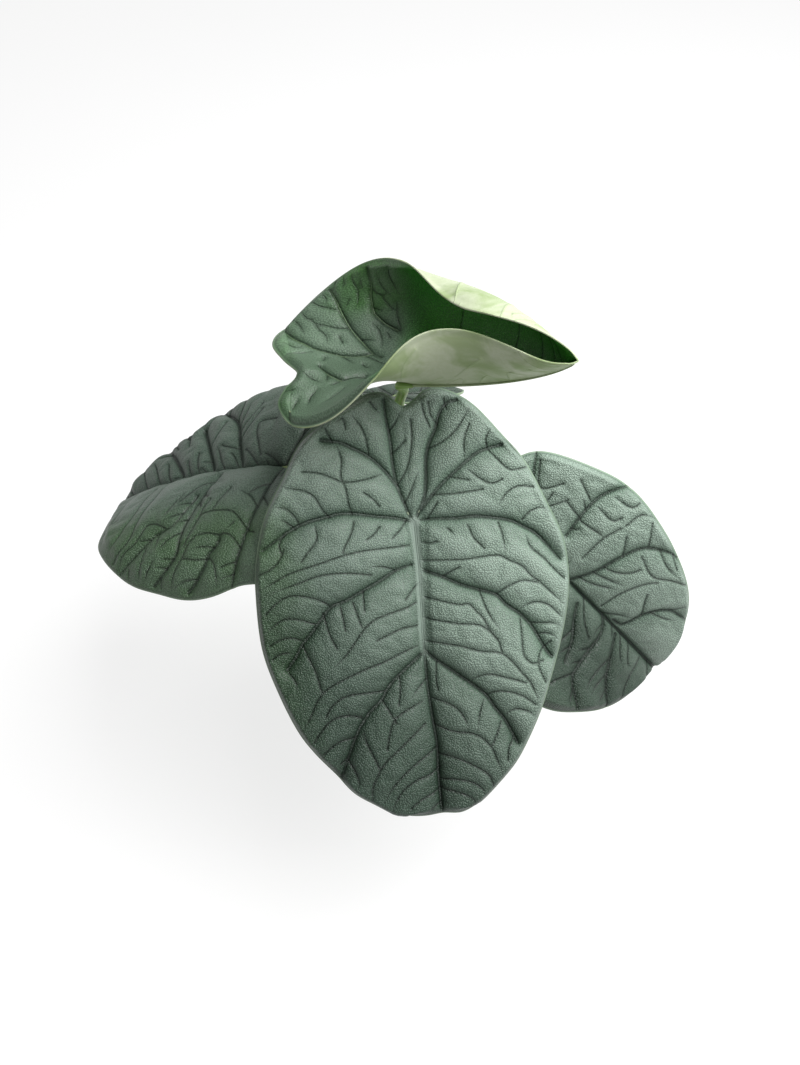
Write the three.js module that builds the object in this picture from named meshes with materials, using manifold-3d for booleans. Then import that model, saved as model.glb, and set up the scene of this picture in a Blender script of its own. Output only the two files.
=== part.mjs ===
// A potted alocasia: five puckered blades on curved stalks that rise from a short rhizome in a
// round grower's pot. Millimetres, +Z up. The origin is the centre of the pot's flat underside,
// and the large front blade leans toward -Y.

import * as THREE from 'three';
import Module from 'manifold-3d';
import { ParametricGeometry } from 'three/addons/geometries/ParametricGeometry.js';
import { mergeGeometries, mergeVertices } from 'three/addons/utils/BufferGeometryUtils.js';

const wasm = await Module();
wasm.setup();

// Clearance between pieces that touch on the real plant.
const GAP = 0.3;

const POT = {
  height: 100,
  bottomRadius: 40,
  topRadius: 55,
  wall: 2.2,
  floor: 3,
  rimDepth: 9,
  rimThickness: 3.6,
  drainHoles: 6,
  drainRadius: 4,
  drainCircle: 26,
  sides: 48,
};

const SOIL = {
  topCentre: 91,
  topEdge: 88,
  lumps: 26,
  lumpRadius: 4.2,
  sides: 40,
};

const RHIZOME = {
  bottom: 58,
  shoulder: 100,
  top: 108,
  bottomRadius: 8,
  bulgeRadius: 12,
  shoulderRadius: 10.5,
  ringHeight: 1.1,
  rings: 4,
  sides: 20,
};

const BLADE_THICKNESS = 1.2;
// Space kept round a blade where its stalk is cut back under it.
const BLADE_CLEARANCE = 0.45;

// Relief of a blade: the domes between main veins, the ripples between side veins on them, and
// the patch width below which both shrink.
const RELIEF = { dome: 2.4, ripple: 1.3, fullWidth: 26, riseEnd: 0.16, fallStart: 0.72, rimShare: 0.35 };

const COLOURS = {
  blade: '#5c6f63',
  youngBlade: '#3f6b3a',
  petiole: '#8fa876',
  rhizome: '#7a6248',
  soil: '#3a2d22',
  pot: '#2f3230',
};

const radians = THREE.MathUtils.degToRad;

/** A material of the given colour with the finish of a dry natural surface unless told otherwise. */
function finish(color, roughness = 0.6) {
  return new THREE.MeshStandardMaterial({ color, roughness, metalness: 0 });
}

/** Position and index only, with shared vertices merged and collapsed triangles dropped. */
function weld(geometry, tolerance = 1e-4) {
  const bare = geometry.clone();
  bare.deleteAttribute('normal');
  bare.deleteAttribute('uv');
  const merged = mergeVertices(bare, tolerance);
  const old = merged.index.array;
  const kept = [];
  for (let i = 0; i < old.length; i += 3) {
    const [a, b, c] = [old[i], old[i + 1], old[i + 2]];
    if (a !== b && b !== c && c !== a) kept.push(a, b, c);
  }
  merged.setIndex(kept);
  return merged;
}

/** A closed geometry as a solid for joins and cuts. */
function toSolid(geometry) {
  const welded = weld(geometry);
  return new wasm.Manifold(new wasm.Mesh({
    numProp: 3,
    vertProperties: new Float32Array(welded.attributes.position.array),
    triVerts: new Uint32Array(welded.index.array),
  }));
}

/** The geometry of a solid that joins or cuts have made. */
function fromSolid(solid) {
  const mesh = solid.getMesh();
  const geometry = new THREE.BufferGeometry();
  geometry.setAttribute('position', new THREE.BufferAttribute(mesh.vertProperties, 3));
  geometry.setIndex(new THREE.BufferAttribute(mesh.triVerts, 1));
  return geometry;
}

/** The largest of the separate bodies that a cut leaves. */
function largestBody(solid) {
  return solid.decompose().reduce((best, body) => (body.volume() > best.volume() ? body : best));
}

/** A solid turned about +Z from a profile of [radius, height] points that meets the axis. */
function turned(profile, sides) {
  const points = profile.map(([radius, height]) => new THREE.Vector2(radius, height));
  const geometry = new THREE.LatheGeometry(points, sides);
  geometry.rotateX(Math.PI / 2);
  return geometry;
}

/** A repeatable random number generator (mulberry32) that returns values from 0 to 1. */
function seeded(seed) {
  let state = seed;
  return () => {
    state = (state + 0x6d2b79f5) | 0;
    let mixed = Math.imul(state ^ (state >>> 15), 1 | state);
    mixed = (mixed + Math.imul(mixed ^ (mixed >>> 7), 61 | mixed)) ^ mixed;
    return ((mixed ^ (mixed >>> 14)) >>> 0) / 4294967296;
  };
}

// Blades

/**
 * The main veins of one half of a blade, from the sinus to the tip, in units of the blade's length
 * from petiole to tip. x points away from the midrib and y toward the tip. `station` is where the
 * vein leaves the midrib, and `end` is its end's place on the outline's list of half points.
 */
const HALF_VEINS = [
  { station: 0, via: [[0.045, -0.16], [0.07, -0.32]], end: 1.1 },
  { station: 0, via: [[0.06, -0.12], [0.17, -0.26]], end: 2.9 },
  { station: 0, via: [[0.17, -0.03], [0.35, -0.02]], end: 5.1 },
  { station: 0.15, via: [[0.13, 0.19], [0.28, 0.25], [0.4, 0.35]], end: 7.3 },
  { station: 0.46, via: [[0.09, 0.51], [0.19, 0.6], [0.26, 0.71]], end: 9.1 },
];

/** One half of a generic blade's outline between its sinus and its tip, in units of its length. */
const HALF_OUTLINE = [
  [0.1, -0.445], [0.22, -0.47], [0.36, -0.4], [0.47, -0.22], [0.53, 0],
  [0.545, 0.2], [0.515, 0.4], [0.43, 0.62], [0.29, 0.82], [0.13, 0.95],
];
const SINUS_DEPTH = 0.4;

// The front blade as measured, in millimetres from its petiole.
const FRONT_OUTLINE = {
  sinus: [3, -58],
  right: [
    [12, -63], [20, -64], [36, -54], [57, -26], [66, -4], [72, 16],
    [73, 36], [68, 66], [54, 99], [33, 128], [11, 143],
  ],
  tip: [0, 143],
  left: [
    [-10, -65], [-24, -61], [-50, -44], [-71, -9], [-78, 24], [-78, 54],
    [-72, 78], [-65, 97], [-51, 118], [-33, 135], [-12, 144],
  ],
};
const FRONT_VEINS = {
  right: [
    { station: 0, via: [[7, -11], [10, -30], [16, -44]], end: 2.5 },
    { station: 0, via: [[16, -17], [28, -26]], end: 3.5 },
    { station: 0, via: [[21, 0], [41, 2], [59, 11]], end: 6.5 },
    { station: 21, via: [[11, 27], [37, 39], [52, 55]], end: 8.3 },
    { station: 62, via: [[9, 71], [22, 82], [35, 100]], end: 9.5 },
  ],
  left: [
    { station: 0, via: [[-6, -19], [-7, -42]], end: 0.9 },
    { station: 0, via: [[-7, -20], [-21, -36]], end: 3 },
    { station: 0, via: [[-18, -5], [-42, -7], [-62, -1]], end: 4.6 },
    { station: 21, via: [[-19, 26], [-44, 36], [-60, 53]], end: 6.9 },
    { station: 62, via: [[-14, 72], [-31, 89], [-41, 105]], end: 9.1 },
  ],
};

// Columns of each patch between two neighbouring main veins, from the sinus to the tip. Every
// second column line is a side vein.
const PATCH_COLUMNS = [4, 4, 6, 6, 6];
const SINUS_COLUMNS = 4;

/** The generic outline for a blade of this length, with each half's width and the base's length. */
function genericOutline({ length, leftWidth, rightWidth, baseLength }) {
  const half = (side, width) => HALF_OUTLINE.map(([x, y]) => [
    side * x * width * length,
    y * length * (y < 0 ? baseLength : 1),
  ]);
  return {
    sinus: [0, -SINUS_DEPTH * length * baseLength],
    right: half(1, rightWidth),
    tip: [0, length],
    left: half(-1, leftWidth),
  };
}

/** The generic main veins for the same blade. */
function genericVeins({ length, leftWidth, rightWidth, baseLength }) {
  const half = (side, width) => HALF_VEINS.map(({ station, via, end }) => ({
    station: station * length,
    via: via.map(([x, y]) => [side * x * width * length, y * length * (y < 0 ? baseLength : 1)]),
    end,
  }));
  return { right: half(1, rightWidth), left: half(-1, leftWidth) };
}

/**
 * The bent middle surface of a blade. Flat coordinates (x, y) are lengths on the blade from the
 * petiole: y toward the tip, and x to the right for a viewer above whom the tip points toward.
 */
class BladeForm {
  constructor({ petiolePoint, heading, droop, bank, length, arch, baseArch, section }) {
    const h = radians(heading);
    const d = radians(droop);
    const b = radians(bank);
    this.origin = new THREE.Vector3(...petiolePoint);
    this.toTip = new THREE.Vector3(Math.sin(h) * Math.cos(d), -Math.cos(h) * Math.cos(d), -Math.sin(d));
    const levelUp = new THREE.Vector3(Math.sin(h) * Math.sin(d), -Math.cos(h) * Math.sin(d), Math.cos(d));
    const levelAcross = new THREE.Vector3().crossVectors(levelUp, this.toTip);
    this.up = levelUp.multiplyScalar(Math.cos(b)).addScaledVector(levelAcross, Math.sin(b));
    this.across = new THREE.Vector3().crossVectors(this.up, this.toTip);
    this.length = length;
    this.arch = radians(arch) / length;
    this.baseArch = radians(baseArch) / length;
    this.section = section;
  }

  /** A [base, middle, tip] triple of degrees, blended along the blade. */
  static along([base, middle, tip], t) {
    return radians(base * (1 - t) * (1 - 2 * t) + 4 * middle * t * (1 - t) + tip * t * (2 * t - 1));
  }

  point(x, y, target) {
    const steps = 14;
    const t = THREE.MathUtils.clamp((y / this.length + 0.45) / 1.45, 0, 1);
    const curve = y > 0 ? this.arch : this.baseArch;
    let forward = 0;
    let lift = 0;
    for (let i = 0; i < steps; i++) {
      const angle = (curve * y * (i + 0.5)) / steps;
      forward += (Math.cos(angle) * y) / steps;
      lift -= (Math.sin(angle) * y) / steps;
    }
    const { rib, rim } = x > 0 ? this.section.right : this.section.left;
    const ribAngle = BladeForm.along(rib, t);
    const rimAngle = BladeForm.along(rim, t);
    const halfWidth = 0.55 * this.length * Math.sqrt(Math.max(1 - ((t - 0.45) / 0.56) ** 2, 0.06));
    let side = 0;
    let rise = 0;
    for (let i = 0; i < steps; i++) {
      const share = Math.min((Math.abs(x) * (i + 0.5)) / steps / halfWidth, 1.3);
      const angle = ribAngle + (rimAngle - ribAngle) * share ** 1.3;
      side += (Math.cos(angle) * x) / steps;
      rise += (Math.sin(angle) * Math.abs(x)) / steps;
    }
    return target.copy(this.origin)
      .addScaledVector(this.across, side)
      .addScaledVector(this.toTip, forward + rise * Math.sin(curve * y))
      .addScaledVector(this.up, lift + rise * Math.cos(curve * y));
  }

  /** The upper side's normal at (x, y). */
  normal(x, y) {
    const step = 0.5;
    const alongX = this.point(x + step, y, new THREE.Vector3()).sub(this.point(x - step, y, new THREE.Vector3()));
    const alongY = this.point(x, y + step, new THREE.Vector3()).sub(this.point(x, y - step, new THREE.Vector3()));
    return alongY.cross(alongX).normalize();
  }

  /** The point `height` above the middle surface at (x, y). */
  raised(x, y, height) {
    return this.point(x, y, new THREE.Vector3()).addScaledVector(this.normal(x, y), height);
  }
}

/** The closed curve of an outline, and where each half's points lie on it. */
function outlineCurve(outline) {
  const ring = [outline.sinus, ...outline.right, outline.tip, ...outline.left.slice().reverse()];
  const curve = new THREE.CatmullRomCurve3(
    ring.map(([x, y]) => new THREE.Vector3(x, y, 0)), true, 'catmullrom', 0.5,
  );
  return {
    at: (place) => curve.getPoint((place / ring.length) % 1),
    rightPlace: (end) => end,
    tipPlace: outline.right.length + 1,
    leftPlace: (end) => ring.length - end,
    count: ring.length,
  };
}

/** The main veins and the tip's midrib in order round the blade, anticlockwise from the sinus. */
function radialLines(outline, veins) {
  const ring = outlineCurve(outline);
  const line = ({ station, via }, place) => {
    const end = ring.at(place);
    return {
      curve: new THREE.SplineCurve([[0, station], ...via, [end.x, end.y]].map(([x, y]) => new THREE.Vector2(x, y))),
      station,
      place,
    };
  };
  const lastStation = Math.max(...veins.right.map((vein) => vein.station));
  const lines = [
    ...veins.right.map((vein) => line(vein, ring.rightPlace(vein.end))),
    line({ station: lastStation, via: [] }, ring.tipPlace),
    ...veins.left.slice().reverse().map((vein) => line(vein, ring.leftPlace(vein.end))),
  ];
  return { lines, ring };
}

/** Height of the relief at (u, v) on a patch: 0 on the main veins and the midrib. */
function reliefHeight(u, v, columns, patchWidth) {
  if (u === 0 || v === 0 || v === 1) return 0;
  const rise = Math.sin((Math.PI / 2) * Math.min(1, u / RELIEF.riseEnd));
  const fall = 1 - (1 - RELIEF.rimShare) * Math.max(0, (u - RELIEF.fallStart) / (1 - RELIEF.fallStart)) ** 2;
  const dome = RELIEF.dome * (1 - (2 * v - 1) ** 4);
  const ripple = (RELIEF.ripple * (1 - Math.cos(Math.PI * columns * v))) / 2;
  return rise * fall * (dome + ripple) * Math.min(1, patchWidth / RELIEF.fullWidth);
}

/**
 * The flat sheet of one patch between the radial lines `first` and `second`: x, y on the blade and
 * the relief's height as z. Shared edges use the same numbers on both sides, so patches weld.
 */
function patch(first, second, ring, columns, rows) {
  const secondPlace = second.place > first.place ? second.place : second.place + ring.count;
  const exact = (value) => Math.round(value * 1e4) / 1e4;
  const surface = (u, v, target) => {
    const from = first.curve.getPointAt(u);
    const to = second.curve.getPointAt(u);
    const width = from.distanceTo(to);
    const inner = first.station + (second.station - first.station) * v;
    const outer = ring.at(first.place + (secondPlace - first.place) * v);
    const start = [first.curve.getPointAt(0), second.curve.getPointAt(0)];
    const end = [first.curve.getPointAt(1), second.curve.getPointAt(1)];
    const blend = (key, innerValue, outerValue) => (1 - v) * from[key] + v * to[key]
      + (1 - u) * innerValue + u * outerValue
      - (1 - u) * ((1 - v) * start[0][key] + v * start[1][key])
      - u * ((1 - v) * end[0][key] + v * end[1][key]);
    const x = u === 0 ? 0 : blend('x', 0, outer.x);
    const y = u === 0 ? inner : blend('y', inner, outer.y);
    target.set(exact(x), exact(y), exact(reliefHeight(u, v, columns, width)));
  };
  return new ParametricGeometry(surface, rows, columns);
}

/** The whole flat sheet of a blade, welded. */
function bladeSheet(outline, veins, rows) {
  const { lines, ring } = radialLines(outline, veins);
  const columns = [...PATCH_COLUMNS, ...PATCH_COLUMNS.slice().reverse(), SINUS_COLUMNS];
  const patches = lines.map((line, i) => patch(line, lines[(i + 1) % lines.length], ring, columns[i], rows));
  return weld(mergeGeometries(patches));
}

/**
 * A sheet given thickness on a form: both faces share the sheet's triangles, and a rim joins them.
 * The sheet is anticlockwise in flat coordinates, which is clockwise seen from above the blade.
 * `reliefShare` scales the sheet's relief, which a blade that is still rolled has less of.
 */
function thicken(sheet, form, thickness, reliefShare) {
  const flat = sheet.attributes.position;
  const count = flat.count;
  const positions = new Float32Array(count * 6);
  for (let i = 0; i < count; i++) {
    const [x, y, height] = [flat.getX(i), flat.getY(i), flat.getZ(i) * reliefShare];
    form.raised(x, y, height + thickness / 2).toArray(positions, i * 3);
    form.raised(x, y, height - thickness / 2).toArray(positions, (count + i) * 3);
  }
  const faces = sheet.index.array;
  const indices = [];
  const edges = new Map();
  for (let i = 0; i < faces.length; i += 3) {
    const [a, b, c] = [faces[i], faces[i + 1], faces[i + 2]];
    indices.push(c, b, a, count + a, count + b, count + c);
    for (const [from, to] of [[a, b], [b, c], [c, a]]) edges.set(`${from} ${to}`, [from, to]);
  }
  for (const [from, to] of edges.values()) {
    if (edges.has(`${to} ${from}`)) continue;
    indices.push(from, to, count + to, from, count + to, count + from);
  }
  const geometry = new THREE.BufferGeometry();
  geometry.setAttribute('position', new THREE.BufferAttribute(positions, 3));
  geometry.setIndex(indices);
  return geometry;
}

const same = (value) => [value, value, value];

const BLADES = [
  {
    name: 'blade_front',
    colour: COLOURS.blade,
    rows: 10,
    length: 142,
    outline: FRONT_OUTLINE,
    veins: FRONT_VEINS,
    petiolePoint: [0, -50, 195],
    heading: 8,
    droop: 40,
    bank: 0,
    arch: 5,
    baseArch: 6,
    section: {
      left: { rib: same(10), rim: same(-14) },
      right: { rib: same(10), rim: same(-14) },
    },
  },
  {
    name: 'blade_left',
    colour: COLOURS.blade,
    rows: 9,
    length: 130,
    leftWidth: 1.0,
    rightWidth: 1.23,
    baseLength: 0.8,
    petiolePoint: [-65, 1.5, 178],
    heading: -109,
    droop: 23.4,
    bank: 11.8,
    arch: 22.6,
    baseArch: 0,
    section: {
      left: { rib: [-1, -2, 0], rim: [-24, -28, -27] },
      right: { rib: [18, 35, 14], rim: [5, -17, 50] },
    },
  },
  {
    name: 'blade_right',
    colour: COLOURS.blade,
    rows: 9,
    length: 104,
    leftWidth: 1.18,
    rightWidth: 1.0,
    baseLength: 0.95,
    petiolePoint: [68, -33, 150],
    heading: 57,
    droop: 31.4,
    bank: -34.6,
    arch: 40.5,
    baseArch: 0,
    section: {
      left: { rib: same(12), rim: same(26) },
      right: { rib: same(25), rim: same(-5) },
    },
  },
  {
    name: 'blade_young',
    colour: COLOURS.youngBlade,
    rows: 11,
    length: 115,
    leftWidth: 0.81,
    rightWidth: 1.3,
    baseLength: 1.08,
    petiolePoint: [-6, -9.5, 250],
    heading: 79.3,
    droop: -6.4,
    bank: -34.7,
    arch: -69.7,
    baseArch: -54.3,
    reliefShare: 0.3,
    section: {
      left: { rib: [14.3, 84.4, 49.2], rim: [53.6, 135.8, 244.7] },
      right: { rib: [-57.7, -34.7, 30.7], rim: [-50.6, 98.9, 106.3] },
    },
  },
  {
    name: 'blade_back',
    colour: COLOURS.blade,
    rows: 7,
    length: 43,
    leftWidth: 0.95,
    rightWidth: 0.85,
    baseLength: 0.7,
    petiolePoint: [-9.5, 33, 199.2],
    heading: 116.9,
    droop: 13.5,
    bank: 28,
    arch: 6,
    baseArch: 0,
    reliefShare: 0.6,
    section: {
      left: { rib: same(10), rim: same(-6) },
      right: { rib: same(10), rim: same(-6) },
    },
  },
];

/** A blade's geometry, with `clearance` added to both of its faces. */
function bladeGeometry(spec, clearance = 0) {
  const sheet = bladeSheet(spec.outline ?? genericOutline(spec), spec.veins ?? genericVeins(spec), spec.rows);
  return thicken(sheet, new BladeForm(spec), BLADE_THICKNESS + 2 * clearance, spec.reliefShare ?? 1);
}

/** The named mesh of one blade. */
function blade(spec) {
  const mesh = new THREE.Mesh(bladeGeometry(spec), finish(spec.colour));
  mesh.name = spec.name;
  return mesh;
}

// Stalks

// Each stalk runs through its points from inside the rhizome's crown to its blade's petiole point.
const PETIOLES = [
  { name: 'petiole_front', blade: 'blade_front', baseRadius: 4.2, tipRadius: 2.6,
    through: [[1, -5, 99], [2, -13, 122], [3, -27, 155], [1, -42, 183]] },
  { name: 'petiole_left', blade: 'blade_left', baseRadius: 4.0, tipRadius: 2.5,
    through: [[-6, -1, 98], [-17, 0, 120], [-37, 0, 149], [-57, 1, 172]] },
  { name: 'petiole_right', blade: 'blade_right', baseRadius: 3.8, tipRadius: 2.4,
    through: [[5, -1, 99], [18, -5, 117], [40, -15, 134], [60, -25, 144]] },
  { name: 'petiole_back', blade: 'blade_back', baseRadius: 3.4, tipRadius: 2.0,
    through: [[3, 8, 98], [4, 16, 122], [1, 23, 155], [-6, 30, 186]] },
  { name: 'petiole_young', blade: 'blade_young', baseRadius: 3.6, tipRadius: 2.3,
    through: [[-1, 0, 103], [-4, 3, 140], [-7, 6, 190], [-6, 3, 226], [-4, -3, 240]] },
];
const PETIOLE_SIDES = 10;
const PETIOLE_STEPS = 16;
// How far a stalk's path runs on above its blade, so that the blade cuts its end.
const PETIOLE_OVERRUN = 3;

/** A round rod along a curve that tapers from one radius to another. */
function taperedRod(curve, startRadius, endRadius, sides, steps) {
  const circle = new THREE.Shape(new THREE.EllipseCurve(0, 0, 1, 1).getPoints(sides).slice(0, sides));
  const rod = weld(new THREE.ExtrudeGeometry(circle, { steps, extrudePath: curve, curveSegments: sides }));
  const position = rod.attributes.position;
  const vertex = new THREE.Vector3();
  const centres = curve.getSpacedPoints(steps);
  for (let i = 0; i < position.count; i++) {
    vertex.fromBufferAttribute(position, i);
    const nearest = centres.reduce((best, centre, k) => (
      centre.distanceToSquared(vertex) < centres[best].distanceToSquared(vertex) ? k : best), 0);
    const radius = THREE.MathUtils.lerp(startRadius, endRadius, nearest / steps);
    vertex.sub(centres[nearest]).multiplyScalar(radius).add(centres[nearest]);
    position.setXYZ(i, vertex.x, vertex.y, vertex.z);
  }
  return rod;
}

/** The named mesh of one stalk, cut back to the gap at the rhizome and under its blade. */
function petiole(spec, rhizomeEnvelope) {
  const bladeSpec = BLADES.find(({ name }) => name === spec.blade);
  const throughBlade = new BladeForm(bladeSpec).raised(0, 0, PETIOLE_OVERRUN);
  const path = new THREE.CatmullRomCurve3([
    ...spec.through.map((point) => new THREE.Vector3(...point)),
    throughBlade,
  ]);
  const rod = toSolid(taperedRod(path, spec.baseRadius, spec.tipRadius, PETIOLE_SIDES, PETIOLE_STEPS));
  const bladeEnvelope = toSolid(bladeGeometry(bladeSpec, BLADE_CLEARANCE));
  const mesh = new THREE.Mesh(
    fromSolid(largestBody(rod.subtract(rhizomeEnvelope).subtract(bladeEnvelope))),
    finish(COLOURS.petiole),
  );
  mesh.name = spec.name;
  return mesh;
}

// Rhizome, soil and pot

/** The rhizome's profile, grown outward by `extra` so that it can cut its neighbours. */
function rhizomeProfile(extra) {
  const { bottom, shoulder, top, bottomRadius, bulgeRadius, shoulderRadius, ringHeight, rings } = RHIZOME;
  const profile = [[0, bottom - extra], [bottomRadius + extra, bottom - extra]];
  const bulgeHeight = (bottom + shoulder) / 2;
  for (let i = 0; i <= rings; i++) {
    const share = i / rings;
    const height = THREE.MathUtils.lerp(bulgeHeight, shoulder - ringHeight, share);
    const radius = THREE.MathUtils.lerp(bulgeRadius, shoulderRadius, share);
    profile.push([radius + extra, height], [radius - ringHeight * 0.6 + extra, height + ringHeight]);
  }
  profile.push([shoulderRadius * 0.62 + extra, top - 2 + extra], [0, top + extra]);
  return profile;
}

/** The rhizome, which tapers downward and carries the ring scars of old stalks. */
function rhizome() {
  const mesh = new THREE.Mesh(weld(turned(rhizomeProfile(0), RHIZOME.sides)), finish(COLOURS.rhizome, 0.85));
  mesh.name = 'rhizome';
  return mesh;
}

/** The pot's inside radius at a height. */
function potInsideRadius(height) {
  return THREE.MathUtils.lerp(POT.bottomRadius, POT.topRadius, height / POT.height) - POT.wall;
}

/** The pot: a tapered wall with a thick rim band and drain holes in its floor. */
function pot() {
  const { height, bottomRadius, topRadius, floor, rimDepth, rimThickness, sides } = POT;
  const outerAt = (z) => THREE.MathUtils.lerp(bottomRadius, topRadius, z / height);
  const edge = 1.2;
  const wall = turned([
    [0, 0],
    [bottomRadius - edge, 0],
    [bottomRadius, edge],
    [outerAt(height - rimDepth - edge), height - rimDepth - edge],
    [outerAt(height - rimDepth) + rimThickness - POT.wall, height - rimDepth],
    [topRadius + rimThickness - POT.wall, height - edge],
    [topRadius + rimThickness - POT.wall - edge, height],
    [potInsideRadius(height) + edge * 0.6, height],
    [potInsideRadius(height - edge), height - edge],
    [potInsideRadius(floor), floor],
    [0, floor],
  ], sides);
  const drain = new THREE.CylinderGeometry(POT.drainRadius, POT.drainRadius, floor * 3, 12);
  drain.rotateX(Math.PI / 2);
  let solid = toSolid(wall);
  for (let i = 0; i < POT.drainHoles; i++) {
    const angle = (i / POT.drainHoles) * 2 * Math.PI;
    const hole = drain.clone().translate(
      POT.drainCircle * Math.cos(angle), POT.drainCircle * Math.sin(angle), floor / 2,
    );
    solid = solid.subtract(toSolid(hole));
  }
  const mesh = new THREE.Mesh(fromSolid(solid), finish(COLOURS.pot, 0.45));
  mesh.name = 'pot';
  return mesh;
}

/** The potting mix: it fills the pot, has bark and stone lumps on top and a hole for the rhizome. */
function soil(rhizomeEnvelope) {
  const bottom = POT.floor + GAP;
  const inside = (z) => potInsideRadius(z) - GAP;
  const bed = turned([
    [0, bottom],
    [inside(bottom), bottom],
    [inside(SOIL.topEdge), SOIL.topEdge],
    [inside(SOIL.topEdge) - 9, SOIL.topEdge + 1.4],
    [inside(SOIL.topEdge) - 19, SOIL.topEdge + 1.8],
    [inside(SOIL.topEdge) - 30, SOIL.topCentre],
    [0, SOIL.topCentre],
  ], SOIL.sides);
  let solid = toSolid(bed);
  const random = seeded(11);
  const keepClear = RHIZOME.bulgeRadius + SOIL.lumpRadius;
  const reach = inside(SOIL.topEdge) - SOIL.lumpRadius * 1.6;
  for (let i = 0; i < SOIL.lumps; i++) {
    const angle = i * 2.4 + random() * 0.5;
    const distance = THREE.MathUtils.lerp(keepClear, reach, Math.sqrt((i + 0.5) / SOIL.lumps));
    const radius = SOIL.lumpRadius * (0.55 + 0.5 * random());
    const lump = new THREE.IcosahedronGeometry(radius, 0)
      .rotateX(random() * 3)
      .rotateZ(random() * 6)
      .scale(1.25, 1, 0.6)
      .rotateZ(angle)
      .translate(distance * Math.cos(angle), distance * Math.sin(angle), SOIL.topEdge + 1.6);
    solid = solid.add(toSolid(lump));
  }
  const mesh = new THREE.Mesh(
    fromSolid(largestBody(solid.subtract(rhizomeEnvelope))),
    finish(COLOURS.soil, 0.95),
  );
  mesh.name = 'soil';
  return mesh;
}

const plant = new THREE.Group();
const rhizomeEnvelope = toSolid(turned(rhizomeProfile(GAP), RHIZOME.sides));
plant.add(pot(), soil(rhizomeEnvelope), rhizome());
plant.add(...BLADES.map(blade));
plant.add(...PETIOLES.map((spec) => petiole(spec, rhizomeEnvelope)));

export default plant;
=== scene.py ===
"""A potted alocasia: five puckered blades on curved stalks, a rhizome, potting mix and a plain pot.

Lengths inside the classes are millimetres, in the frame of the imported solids. Meshes are written in
metres. Flat coordinates (x, y) lie on a blade: y runs from its petiole to its tip, and x to the right
for a viewer whom the tip points at. Pixels are the photograph's own, from its top left.
"""

import logging
import math
from collections.abc import Callable, Sequence
from dataclasses import dataclass, field
from enum import Enum
from functools import reduce

import bmesh
import bpy
import numpy as np
from mathutils import Euler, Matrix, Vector, noise

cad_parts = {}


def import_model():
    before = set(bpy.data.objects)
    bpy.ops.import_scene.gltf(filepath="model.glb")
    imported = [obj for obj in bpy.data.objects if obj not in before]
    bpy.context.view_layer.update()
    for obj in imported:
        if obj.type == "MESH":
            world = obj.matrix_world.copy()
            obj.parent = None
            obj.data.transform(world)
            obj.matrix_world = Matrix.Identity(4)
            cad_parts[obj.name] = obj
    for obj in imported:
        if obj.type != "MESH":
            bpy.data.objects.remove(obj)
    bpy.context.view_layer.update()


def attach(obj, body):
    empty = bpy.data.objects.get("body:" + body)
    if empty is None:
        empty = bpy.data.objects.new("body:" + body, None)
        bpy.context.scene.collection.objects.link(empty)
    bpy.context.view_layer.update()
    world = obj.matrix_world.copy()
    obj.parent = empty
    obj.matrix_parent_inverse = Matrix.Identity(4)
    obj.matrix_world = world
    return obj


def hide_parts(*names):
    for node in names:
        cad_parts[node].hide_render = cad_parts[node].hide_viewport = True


log = logging.getLogger("plant")

MM = 0.001
BODY = "root"
# Half the width of a crease's floor in millimetres where the vein is at full strength.
HALF_CREASE = 0.3
# Distances to lines are measured tile by tile, and for so many pairs of a point and a line at once.
TILE = 12.0
PAIRS_AT_ONCE = 2_000_000

Array = np.ndarray
Line = tuple[tuple[float, float], ...]
Triple = tuple[float, float, float]
Colour = tuple[float, float, float]
Socket = bpy.types.NodeSocket
Material = bpy.types.Material
Piece = bpy.types.Object
Mesh = bpy.types.Mesh


# Curves and distances


def spline(points: Sequence, per_span: int = 8, closed: bool = False, power: float = 0.5) -> Array:
    """A Catmull-Rom curve through points.

    Args:
        points: The points, in any number of dimensions.
        per_span: Samples from one point to the next.
        closed: True for a ring.
        power: 0.5 for centripetal knots, 0 for even ones.

    Returns:
        The samples, with the last point included when the curve is open.
    """
    p = np.asarray(points, float)
    if closed:
        padded = np.vstack([p[-1:], p, p[:2]])
    else:
        padded = np.vstack([2 * p[0] - p[1], p, 2 * p[-1] - p[-2]])
    t = np.linspace(0, 1, per_span, endpoint=False)[:, None]
    spans = []
    for a, b, c, d in zip(padded, padded[1:], padded[2:], padded[3:]):
        steps = ((b, a), (c, b), (d, c))
        before, here, after = (max(np.linalg.norm(q - r), 1e-6) ** power for q, r in steps)
        leave = ((b - a) / before - (c - a) / (before + here) + (c - b) / here) * here
        arrive = ((c - b) / here - (d - b) / (here + after) + (d - c) / after) * here
        spans.append(b + leave * t + (3 * c - 3 * b - 2 * leave - arrive) * t**2
                     + (2 * b - 2 * c + leave + arrive) * t**3)
    if not closed:
        spans.append(p[-1:])
    return np.vstack(spans)


def run_along(line: Array) -> Array:
    """The length along a line at each of its points."""
    return np.concatenate([[0], np.cumsum(np.linalg.norm(np.diff(line, axis=0), axis=1))])


def full_length(line: Array) -> float:
    """The flat length of a line."""
    return float(np.linalg.norm(np.diff(line[:, :2], axis=0), axis=1).sum())


def evenly(line: Array, count: int) -> Array:
    """The line resampled at `count` points an equal length apart."""
    run = run_along(line)
    places = np.linspace(0, run[-1], count)
    return np.stack([np.interp(places, run, line[:, k]) for k in range(line.shape[1])], -1)


def smooth_step(value: Array, low: float, high: float) -> Array:
    """0 below `low`, 1 above `high`, with a smooth rise between."""
    t = np.clip((value - low) / (high - low), 0, 1)
    return t * t * (3 - 2 * t)


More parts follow.
